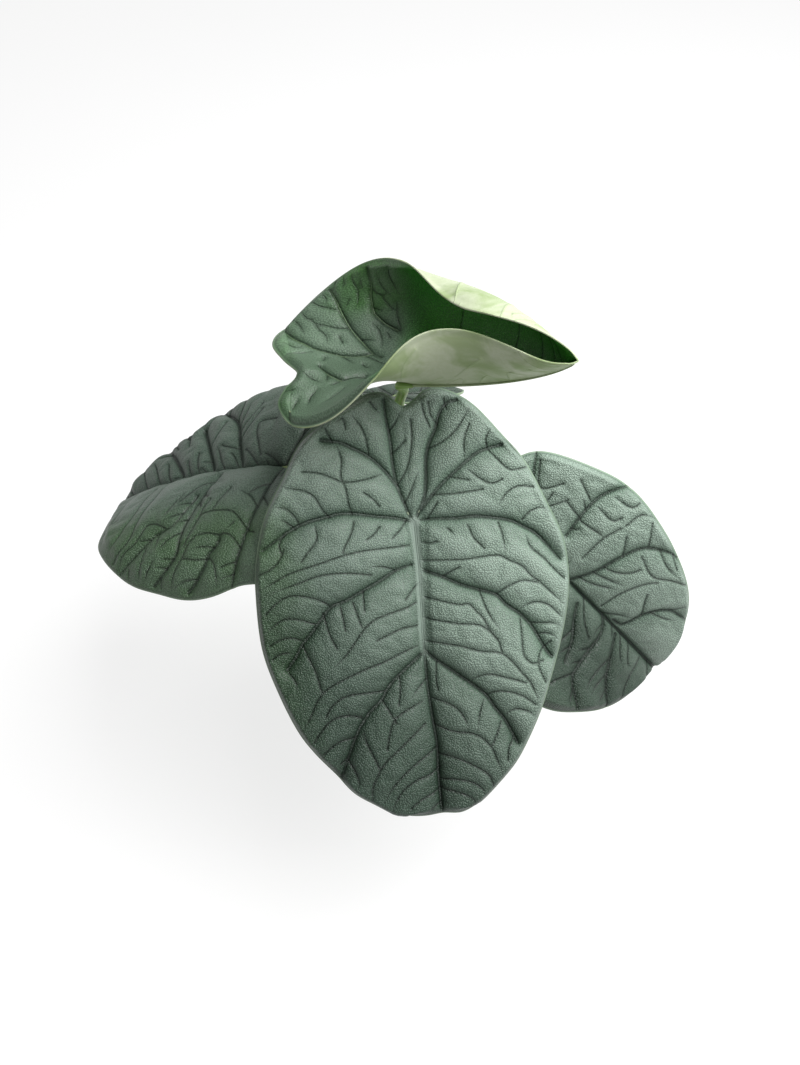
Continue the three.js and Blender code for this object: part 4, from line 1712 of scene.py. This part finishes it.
FRONT_FORM = BladeForm(
    petiole_point=(0, -50, 195), heading=8, droop=40, bank=0, length=142, arch=5, base_arch=6,
    left=Fold.even(10, -14), right=Fold.even(10, -14))
LEFT_FORM = BladeForm(
    petiole_point=(-65, 1.5, 178), heading=-109, droop=23.4, bank=11.8, length=130, arch=22.6, base_arch=0,
    left=Fold((-1, -2, 0), (-24, -28, -27)), right=Fold((18, 35, 14), (5, -17, 50)))
RIGHT_FORM = BladeForm(
    petiole_point=(68, -33, 150), heading=57, droop=31.4, bank=-34.6, length=104, arch=40.5, base_arch=0,
    left=Fold.even(12, 26), right=Fold.even(25, -5))
YOUNG_FORM = BladeForm(
    petiole_point=(-6, -9.5, 250), heading=79.3, droop=-6.4, bank=-34.7, length=115, arch=-69.7,
    base_arch=-54.3, left=Fold((14.3, 84.4, 49.2), (53.6, 135.8, 244.7)),
    right=Fold((-57.7, -34.7, 30.7), (-50.6, 98.9, 106.3)))
BACK_FORM = BladeForm(
    petiole_point=(-9.5, 33, 199.2), heading=116.9, droop=13.5, bank=28, length=43, arch=6, base_arch=0,
    left=Fold.even(10, -6), right=Fold.even(10, -6))

LEFT_PLAN = BladePlan(130, left_width=1.0, right_width=1.23, base_length=0.8)
RIGHT_PLAN = BladePlan(104, left_width=1.18, right_width=1.0, base_length=0.95)
YOUNG_PLAN = BladePlan(115, left_width=0.81, right_width=1.3, base_length=1.08)
BACK_PLAN = BladePlan(43, left_width=0.95, right_width=0.85, base_length=0.7)

FRONT_EDGE = (
    (402, 406), (412, 401), (423, 391), (438, 388), (456, 394), (473, 405), (500, 433), (522, 458),
    (545, 500), (563, 540), (568, 575), (567, 600), (560, 640), (550, 678), (540, 710), (518, 757),
    (500, 780), (480, 800), (462, 811), (443, 812), (425, 815), (410, 815), (395, 812), (375, 803),
    (355, 792), (335, 772), (315, 752), (300, 733), (280, 695), (263, 650), (256, 590), (256, 565),
    (264, 520), (283, 478), (300, 443), (322, 423), (350, 404), (368, 394), (383, 393))

# Flat millimetres: the midrib, then each main vein.
FRONT_MIDRIB = (
    (1, 0), (1, 11), (1, 23), (0, 38), (-1, 52), (-1, 65), (-1, 82), (0, 97), (1, 109), (0, 124), (0, 141))
FRONT_MAIN = (
    ((0, -1), (-3, -9), (-6, -19), (-7, -29), (-7, -42), (-8, -54), (-8, -61)),
    ((-5, -17), (-7, -20), (-11, -26), (-16, -32), (-21, -36), (-26, -39), (-31, -42), (-35, -43),
     (-40, -44)),
    ((2, -2), (7, -11), (9, -20), (10, -30), (12, -37), (16, -44), (19, -52), (23, -56), (28, -57)),
    ((5, -6), (16, -17), (24, -23), (28, -26), (34, -30), (40, -32), (47, -33)),
    ((-1, -1), (-8, -3), (-18, -5), (-27, -7), (-35, -8), (-42, -7), (-49, -6), (-56, -4), (-62, -1),
     (-69, 3), (-74, 6)),
    ((4, -1), (11, -1), (21, 0), (31, 0), (41, 2), (48, 4), (53, 7), (59, 11), (65, 18), (70, 25)),
    ((-3, 20), (-11, 22), (-19, 26), (-28, 30), (-37, 34), (-44, 36), (-49, 41), (-55, 48), (-60, 53),
     (-63, 58), (-68, 64)),
    ((1, 22), (4, 24), (11, 27), (20, 32), (30, 36), (37, 39), (41, 44), (47, 49), (52, 55), (56, 63),
     (59, 69), (61, 72)),
    ((-3, 64), (-7, 67), (-14, 72), (-20, 77), (-25, 84), (-31, 89), (-37, 97), (-41, 105), (-44, 112),
     (-47, 119)),
    ((-1, 62), (3, 66), (9, 71), (15, 76), (22, 82), (27, 87), (31, 94), (35, 100), (38, 107), (40, 112)),
)

FRONT_SIDE_LEFT = (
    ((352, 418), (362, 432), (368, 455)), ((368, 403), (378, 415)), ((325, 430), (332, 443)),
    ((345, 430), (342, 420), (335, 425)),
    ((337, 447), (341, 462), (340, 476), (345, 490), (348, 505), (352, 515)),
    ((380, 475), (365, 480), (343, 483), (330, 478), (318, 474), (303, 473)),
    ((287, 489), (305, 492), (315, 498), (322, 510), (330, 518)),
    ((278, 508), (288, 510), (296, 518), (300, 526)), ((283, 520), (290, 525), (296, 530)),
    ((362, 493), (372, 500), (378, 507)),
    ((408, 545), (395, 547), (378, 549), (362, 551), (345, 555), (330, 560), (310, 567), (290, 574),
     (275, 583), (263, 590)),
    ((370, 575), (345, 573), (318, 576), (300, 583), (275, 592)),
    ((353, 522), (351, 532), (346, 543), (342, 552)), ((378, 527), (372, 535), (365, 540)),
    ((315, 525), (317, 540), (308, 553), (302, 562)), ((285, 535), (280, 545), (283, 555)),
    ((262, 575), (272, 570), (280, 562), (285, 550)),
    ((330, 606), (320, 600), (305, 596), (290, 596), (278, 603), (268, 614)),
    ((315, 624), (300, 619), (285, 619), (273, 628), (268, 633)),
    ((302, 640), (292, 637), (280, 640), (272, 645)), ((292, 652), (282, 653), (275, 658)),
    ((323, 613), (330, 635), (337, 648)), ((340, 607), (343, 620), (345, 630)), ((352, 602), (360, 625)),
    ((415, 602), (403, 608), (388, 613), (372, 620), (362, 630), (352, 645), (345, 655), (335, 665)),
    ((416, 645), (400, 652), (385, 660), (365, 668), (350, 675), (335, 683), (325, 690), (318, 700),
     (312, 715), (305, 728)),
    ((303, 645), (310, 658), (317, 672), (322, 690)), ((290, 672), (297, 680), (300, 690)),
    ((416, 625), (400, 628), (385, 635), (375, 640)),
    ((385, 690), (365, 692), (345, 695), (332, 705), (327, 715)),
    ((362, 717), (350, 714), (340, 715), (330, 720), (322, 730), (316, 740)),
    ((355, 737), (345, 738), (335, 743), (325, 752)), ((350, 755), (342, 762)),
    ((382, 700), (388, 710), (395, 722)), ((420, 700), (400, 712), (392, 720), (388, 735), (386, 748)),
    ((423, 722), (410, 735), (395, 750), (385, 760), (378, 772), (373, 785), (375, 800)),
    ((363, 732), (368, 745), (375, 758), (378, 765)),
    ((437, 745), (420, 757), (405, 770), (392, 785), (385, 797)),
    ((440, 765), (428, 773), (415, 778), (402, 788), (395, 800), (393, 807)),
    ((347, 757), (355, 768), (360, 780), (358, 787)), ((442, 785), (430, 792), (420, 797), (410, 805)),
    ((441, 800), (432, 805), (425, 812)),
)
FRONT_SIDE_RIGHT = (
    ((421, 400), (424, 415), (430, 428)), ((428, 403), (430, 415), (437, 425)), ((443, 400), (446, 410)),
    ((464, 458), (463, 440), (468, 425)), ((486, 447), (484, 440), (488, 430)),
    ((505, 440), (512, 448), (520, 458)), ((487, 450), (497, 462), (508, 471), (523, 468)),
    ((467, 470), (480, 480), (490, 484), (500, 480)), ((497, 505), (505, 493), (515, 487), (530, 488)),
    ((520, 520), (527, 512), (537, 508), (545, 512)), ((420, 541), (430, 543), (437, 541)),
    ((467, 525), (473, 538), (483, 548)), ((497, 522), (502, 540), (503, 552)),
    ((420, 560), (435, 560), (465, 559), (497, 555), (507, 560), (520, 566), (528, 575), (535, 580),
     (548, 592), (560, 603)),
    ((524, 535), (528, 547), (540, 557), (552, 570), (560, 578)), ((447, 528), (455, 535)),
    ((495, 594), (503, 588), (512, 583), (520, 580), (535, 582)),
    ((520, 606), (533, 601), (545, 604), (555, 613), (562, 620)),
    ((530, 622), (540, 622), (550, 622), (558, 625)), ((537, 633), (545, 632), (555, 637)),
    ((423, 596), (440, 600), (460, 604), (468, 603), (475, 610), (482, 617), (488, 628), (497, 640),
     (500, 650)),
    ((423, 617), (440, 620), (460, 623), (478, 624), (488, 630), (497, 640)),
    ((424, 640), (440, 642), (460, 645), (480, 650), (500, 652), (510, 660), (520, 672), (527, 680),
     (533, 693), (536, 700)),
    ((519, 618), (520, 640), (522, 655), (530, 662), (540, 659)),
    ((548, 640), (537, 653), (536, 665), (542, 680)), ((472, 678), (485, 673), (500, 675), (523, 681)),
    ((487, 693), (495, 690), (507, 690), (520, 694), (532, 702)),
    ((505, 712), (513, 707), (525, 709), (535, 715)),
    ((432, 697), (447, 701), (458, 708), (465, 718), (468, 727)), ((483, 698), (479, 712), (477, 728)),
    ((434, 723), (445, 727), (458, 730), (470, 731), (480, 735), (490, 745), (495, 757), (500, 770)),
    ((500, 720), (495, 733), (491, 742)), ((512, 737), (507, 745), (505, 757)),
    ((438, 752), (450, 754), (462, 758), (475, 764), (487, 772), (491, 782)),
    ((440, 777), (455, 777), (470, 779), (480, 785), (483, 793)),
    ((442, 787), (455, 789), (465, 792), (473, 797), (470, 803)),
)

LEFT_EDGE = (
    (281, 392), (270, 396), (255, 402), (240, 408), (225, 416), (213, 424), (205, 431), (190, 441),
    (175, 451), (160, 462), (150, 474), (138, 487), (129, 501), (121, 510), (113, 520), (107, 530),
    (100, 545), (99, 550), (106, 563), (122, 579), (133, 587), (145, 591), (160, 594), (180, 600),
    (190, 601), (205, 599), (220, 595), (235, 587), (256, 577))
LEFT_LARGE = (
    ((217, 474), (213, 455), (208, 435)), ((187, 480), (180, 465), (172, 453)),
    ((245, 470), (242, 445), (240, 425), (225, 416)),
    ((222, 482), (210, 494), (198, 511), (188, 527), (182, 541), (179, 555), (171, 568), (156, 587)),
    ((200, 500), (185, 517), (177, 527), (168, 533), (159, 538), (150, 547), (140, 557), (122, 575)),
    ((222, 541), (217, 549), (210, 557), (207, 566), (202, 576), (196, 586), (190, 593)),
)
LEFT_SIDE = (
    ((195, 480), (194, 460), (197, 438)), ((265, 460), (263, 430), (282, 425)), ((152, 492), (151, 475)),
    ((165, 490), (163, 475), (160, 468)), ((138, 500), (137, 493)), ((203, 477), (203, 462), (207, 450)),
    ((200, 528), (206, 520), (215, 517), (226, 516), (237, 517), (244, 524), (251, 533), (258, 536)),
    ((203, 539), (212, 537), (222, 538), (230, 537), (237, 541), (243, 551)),
    ((200, 540), (193, 548), (187, 560), (180, 572), (177, 582), (175, 591)),
    ((188, 561), (200, 562), (212, 560), (218, 566), (220, 578), (219, 588)),
    ((163, 536), (162, 545), (161, 553)), ((151, 552), (147, 565), (144, 577), (141, 584)),
    ((168, 531), (160, 529), (152, 532), (146, 540), (140, 548), (132, 555), (125, 563), (120, 572)),
    ((180, 487), (168, 497), (160, 507), (150, 519), (142, 532), (136, 544), (126, 556), (116, 566)),
    ((162, 497), (150, 509), (141, 522), (131, 535), (122, 548), (112, 558)),
    ((143, 503), (131, 514), (123, 525), (117, 532)), ((126, 528), (117, 533), (109, 538), (104, 546)),
    ((215, 505), (207, 515), (201, 527), (193, 540), (188, 550)), ((238, 526), (231, 533)),
    ((245, 498), (254, 502), (260, 511)), ((159, 564), (152, 575), (147, 585)), ((133, 571), (131, 581)),
    ((190, 500), (180, 509), (170, 520)), ((235, 495), (225, 505), (218, 514)),
)

RIGHT_EDGE = (
    (522, 453), (541, 451), (560, 455), (590, 466), (620, 480), (640, 497), (657, 520), (673, 547),
    (685, 578), (688, 595), (687, 610), (680, 633), (665, 655), (655, 666), (652, 667), (640, 681),
    (625, 696), (600, 709), (570, 712), (545, 711))
RIGHT_LARGE = (
    ((566, 535), (580, 516), (600, 496), (630, 485)),
    ((570, 578), (595, 570), (620, 556), (643, 547), (668, 552), (676, 557)),
    ((612, 617), (620, 622), (643, 612), (667, 608), (685, 619)),
    ((575, 603), (572, 620), (570, 640), (562, 662)),
    ((601, 612), (600, 630), (583, 655), (570, 677), (575, 708)),
    ((613, 632), (608, 655), (603, 680), (605, 708)),
)
RIGHT_SIDE = (
    ((582, 556), (602, 537), (620, 527)), ((600, 603), (620, 590), (645, 581), (655, 580)),
    ((640, 555), (650, 574), (668, 578), (683, 583)), ((624, 525), (640, 514), (655, 518)),
    ((625, 535), (622, 555)), ((650, 522), (647, 545)), ((580, 520), (600, 533)),
    ((598, 507), (612, 520), (620, 517)), ((614, 497), (630, 507), (638, 503)), ((580, 480), (590, 500)),
    ((566, 500), (580, 518)), ((549, 505), (568, 499)), ((540, 460), (540, 487), (563, 483)),
    ((636, 655), (622, 680), (616, 700)),
)

YOUNG_LARGE = (
    ((285, 334), (293, 341), (305, 347), (315, 352), (330, 356), (345, 359), (360, 359), (371, 357)),
    ((332, 291), (338, 303), (342, 313), (347, 323), (353, 333), (360, 341), (368, 350), (376, 358),
     (383, 361)),
    ((319, 371), (326, 376), (335, 381), (343, 384), (353, 382), (366, 381)),
    ((370, 266), (371, 275), (373, 285), (372, 294), (373, 303), (375, 313), (380, 319), (388, 326),
     (400, 332)),
)
YOUNG_SIDE = (
    ((304, 314), (308, 321), (316, 326), (327, 329), (340, 331), (349, 330)),
    ((314, 303), (320, 308), (337, 311)), ((374, 288), (380, 293), (388, 294)),
    ((381, 273), (384, 283), (389, 289), (396, 294)), ((384, 295), (390, 303), (396, 310)),
    ((355, 272), (356, 281), (360, 290), (360, 303), (357, 313)), ((363, 277), (364, 285), (368, 291)),
    ((346, 276), (347, 284), (345, 292)), ((352, 300), (347, 310)),
    ((375, 325), (381, 332), (383, 340), (384, 353)), ((389, 335), (394, 343)), ((340, 340), (345, 350)),
    ((400, 300), (400, 315), (402, 330), (405, 340)), ((313, 322), (320, 333), (327, 340), (328, 348)),
    ((296, 323), (303, 332), (306, 340)), ((280, 348), (290, 350), (297, 353), (304, 350)),
    ((285, 359), (300, 358), (315, 357)), ((302, 376), (312, 383), (322, 388)), ((285, 393), (298, 394)),
    ((300, 404), (296, 410), (292, 418)), ((332, 390), (342, 385)), ((345, 395), (335, 402), (325, 410)),
    ((318, 395), (312, 402), (310, 412)), ((363, 370), (370, 375)), ((325, 362), (322, 368)),
    ((392, 262), (393, 272), (398, 283), (404, 292)), ((337, 281), (337, 289)), ((326, 297), (330, 303)),
)
YOUNG_WALL = (
    ((415, 350), (404, 366), (401, 385)), ((500, 353), (480, 360), (455, 378)), ((452, 328), (460, 303)),
    ((503, 338), (520, 322)),
)


def traced(form: BladeForm, lines: Sequence[Line], side: Side = Side.UPPER) -> list[Array]:
    """The flat lines that pixel lines show on a blade.

    Args:
        form: The blade's form.
        lines: Lines of pixels.
        side: The side of the blade that shows them.

    Returns:
        The lines in flat coordinates.
    """
    shown = [spline(line, PER_SPAN) for line in lines]
    flat = CAMERA.flat_points(form, np.vstack(shown), side)
    return np.split(flat, np.cumsum([len(line) for line in shown])[:-1])


def everywhere(strength: float) -> Callable[[Array], Array]:
    """A zone that has one strength all over a blade, or 0 for no zone."""
    return lambda points: np.full(len(points), strength, float)


@dataclass
class Plant:
    """The whole potted plant.

    Attributes:
        fineness: Share of the finest grid cells that the blades get.
    """

    fineness: float

    def __post_init__(self) -> None:
        """Makes the finishes that four of the blades share."""
        self.skin = LeafFinish().make()
        self.under = UnderFinish().make()

    def cells(self, across: int, along: int) -> dict[str, int]:
        """A blade's grid cells, from its finest ones."""
        return {"across": int(across * self.fineness), "along": int(along * self.fineness)}

    def front(self) -> Blade:
        """The large blade in front. The photograph shows its outline all round."""
        flat = CAMERA.flat_points(FRONT_FORM, spline(FRONT_EDGE, 12, True))[::-1]
        ring = evenly(np.vstack([flat, flat[:1]]), 641)[:-1]
        outline = Outline(ring, np.array([0.0, 42.0]))
        veins = VeinNet(np.array(FRONT_MIDRIB, float), [spline(line, PER_SPAN) for line in FRONT_MAIN],
                        traced(FRONT_FORM, FRONT_SIDE_LEFT + FRONT_SIDE_RIGHT))
        veins.grow(outline, side_spacing=11.0, fine_spacing=4.2, seed=1)
        return Blade(
            "front_leaf", "blade_front", FRONT_FORM, outline, veins,
            Relief(strand_end=66, strand_half_width=1.9), self.skin, self.under, "leaf",
            **self.cells(212, 216),
            fresh=lambda p: smooth_step(-p[:, 0], 38, 82) * smooth_step(p[:, 1], -40, 10),
            # Painted shade that deepens toward the tip and the half with x below 0.
            deep_shade=lambda p: smooth_step(p[:, 1] - p[:, 0], -10, 135), shade=everywhere(0))

    def left(self) -> Blade:
        """The blade that reaches out to the left."""
        outline = LEFT_PLAN.outline().pulled_to(LEFT_EDGE, LEFT_FORM)
        main = LEFT_PLAN.main_veins((0, 1, 2)) + traced(LEFT_FORM, LEFT_LARGE)
        veins = VeinNet(LEFT_PLAN.midrib(), main, traced(LEFT_FORM, LEFT_SIDE))
        veins.grow(outline, side_spacing=7.2, fine_spacing=4.0, seed=2)
        return Blade(
            "left_leaf", "blade_left", LEFT_FORM, outline, veins,
            Relief(rim_width=11), self.skin, self.under, "leaf",
            **self.cells(200, 200),
            # Painted shade over the whole blade.
            fresh=lambda p: smooth_step(p[:, 0], 18, 60), deep_shade=everywhere(0.6), shade=everywhere(0))

    def right(self) -> Blade:
        """The blade that reaches out to the right."""
        outline = RIGHT_PLAN.outline().pulled_to(RIGHT_EDGE, RIGHT_FORM)
        main = (RIGHT_PLAN.main_veins((0, 1)) + RIGHT_PLAN.main_veins((2,), (-1,))
                + traced(RIGHT_FORM, RIGHT_LARGE))
        veins = VeinNet(RIGHT_PLAN.midrib(), main, traced(RIGHT_FORM, RIGHT_SIDE))
        veins.grow(outline, side_spacing=7.2, fine_spacing=4.0, seed=3)
        return Blade(
            "right_leaf", "blade_right", RIGHT_FORM, outline, veins,
            Relief(pad=2.6, pad_reach=5.5), self.skin, self.under, "leaf",
            **self.cells(190, 190),
            fresh=lambda p: 0.6 * smooth_step(-p[:, 0], 30, 70),
            # Deep and lighter painted shade toward the half with x below 0, where the front blade shades
            # it.
            deep_shade=lambda p: smooth_step(-p[:, 0], -12, 20),
            shade=lambda p: 0.45 * smooth_step(-p[:, 0], -12, 20))

    def young(self) -> Blade:
        """The youngest blade, still rolled, with finishes of its own and one thin rib."""
        skin = LeafFinish(
            "young_skin", deep=(0.052, 0.088, 0.055), light=(0.122, 0.178, 0.126),
            # In the zone of deep painted shade, inside the roll, the skin turns darker and greener.
            fresh=(0.035, 0.140, 0.012), fresh_share=0.06, deep_shade=(0.5, 1.8, 0.18), pebble=0.12,
            vein=(0.170, 0.270, 0.130), line_share=0.4, crease_shade=0.58).make()
        under = UnderFinish(
            "young_underside", base=(0.365, 0.405, 0.285), stain=(0.220, 0.285, 0.135),
            vein=(0.215, 0.285, 0.130), vein_strength=0.5, patches=55).make()
        outline = YOUNG_PLAN.outline()
        side = (traced(YOUNG_FORM, YOUNG_SIDE) + traced(YOUNG_FORM, YOUNG_WALL, Side.UNDER)
                + YOUNG_PLAN.main_veins((3, 4), (1,)))
        veins = VeinNet(YOUNG_PLAN.midrib(), traced(YOUNG_FORM, YOUNG_LARGE), side)
        veins.grow(outline, side_spacing=8.5, fine_spacing=0, seed=4)
        relief = Relief(pad=2.2, pad_reach=4, puff=1.8, puff_reach=1.6, rim_width=4, relief_in_deep_shade=0.25)
        return Blade(
            "young_leaf", "blade_young", YOUNG_FORM, outline, veins, relief, skin, under, "young_leaf",
            **self.cells(206, 206),
            # The band at the far lobes is partly fresher green and partly painted shade with painted light
            # shining through the blade; the lobes' ends are fresher green.
            fresh=lambda p: np.maximum(smooth_step(p[:, 0], 34, 58) * smooth_step(p[:, 1], -46, -22),
                                       0.5 * smooth_step(-p[:, 1], 42, 58)),
            # Deep painted shade inside the roll, and lighter painted shade toward the near lobe, where x is
            # low.
            deep_shade=lambda p: smooth_step(p[:, 1], -8, 12),
            shade=lambda p: 0.7 - 0.7 * smooth_step(p[:, 0], 5, 25),
            rib_radius=0.9, thickness=0.7, ribbed=1)

    def back(self) -> Blade:
        """The small blade at the back."""
        outline = BACK_PLAN.outline()
        veins = VeinNet(BACK_PLAN.midrib(), BACK_PLAN.main_veins((0, 1, 2, 3, 4)))
        veins.grow(outline, side_spacing=5.0, fine_spacing=0, seed=5)
        relief = Relief(pad=1.1, pad_reach=3.5, puff=0.45, puff_reach=1.2, rim_width=4)
        return Blade(
            "back_leaf", "blade_back", BACK_FORM, outline, veins, relief, self.skin, self.under, "leaf",
            **self.cells(90, 90),
            # Deep painted shade over the whole blade.
            fresh=everywhere(0.3), deep_shade=everywhere(1), shade=everywhere(0), rib_radius=1.2)

    def stalks(self) -> list[Stalk]:
        """The five petioles."""
        green = StalkFinish("stalk_skin").make()
        bright = StalkFinish("young_stalk_skin", green=(0.150, 0.280, 0.040),
                             pale=(0.220, 0.350, 0.105)).make()
        return [
            Stalk("front_stalk", "petiole_front", FRONT_FORM, 4.2, 2.6, green,
                  ((1, -5, 99), (2, -13, 122), (3, -27, 155), (1, -42, 183))),
            Stalk("left_stalk", "petiole_left", LEFT_FORM, 4.0, 2.5, green,
                  ((-6, -1, 98), (-17, 0, 120), (-37, 0, 149), (-57, 1, 172))),
            Stalk("right_stalk", "petiole_right", RIGHT_FORM, 3.8, 2.4, green,
                  ((5, -1, 99), (18, -5, 117), (40, -15, 134), (60, -25, 144))),
            Stalk("back_stalk", "petiole_back", BACK_FORM, 3.4, 2.0, green,
                  ((3, 8, 98), (4, 16, 122), (1, 23, 155), (-6, 30, 186))),
            Stalk("young_stalk", "petiole_young", YOUNG_FORM, 3.6, 2.3, bright,
                  ((-1, 0, 103), (-4, 3, 140), (-7, 6, 190), (-6, 3, 226), (-4, -3, 240))),
        ]

    def build(self) -> None:
        """Builds every piece and logs it."""
        for blade in (self.front(), self.left(), self.right(), self.young(), self.back()):
            self.report(blade.build())
            self.report(blade.ribs())
        for stalk in self.stalks():
            self.report(stalk.build())
        rhizome = Rhizome(
            EarthFinish("rhizome_skin", (0.045, 0.030, 0.018), (0.190, 0.130, 0.075), 180, 0.4, 0.8,
                        ringed=True).make(),
            EarthFinish("old_sheath", (0.150, 0.095, 0.050), (0.420, 0.310, 0.190), 120, 0.25, 0.7,
                        ringed=True).make())
        self.report(rhizome.body())
        self.report(rhizome.old_sheaths())
        pot = Pot(PotFinish().make())
        mix = PottingMix(
            pot,
            EarthFinish("earth", (0.012, 0.009, 0.007), (0.060, 0.042, 0.028), 300, 0.6).make(),
            EarthFinish("bark", (0.030, 0.018, 0.011), (0.160, 0.095, 0.055), 260, 0.35).make(),
            EarthFinish("stone_grain", (0.420, 0.400, 0.360), (0.780, 0.760, 0.710), 500, 0.2).make())
        self.report(mix.bed())
        self.report(mix.scattered("bark_chips", mix.chips, 21, (3.4, 2.2, 1.3), (0.5, 1.35), mix.bark))
        self.report(mix.scattered("stone_grains", mix.grains, 22, (1.25, 1.1, 0.9), (0.5, 1.3), mix.stone))
        self.report(pot.build())

    @staticmethod
    def report(piece: Piece) -> None:
        """Logs a piece's name, size and materials."""
        materials = ", ".join(material.name for material in piece.data.materials)
        log.info("%s: %d faces, %s", piece.name, len(piece.data.polygons), materials)


def main() -> None:
    """Builds the camera, the plant and the studio."""
    logging.basicConfig(level=logging.INFO, format="%(message)s")
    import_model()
    CAMERA.make()
    Plant(fineness=1.0).build()
    Studio().build()
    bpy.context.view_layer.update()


if __name__ == "__main__":
    main()
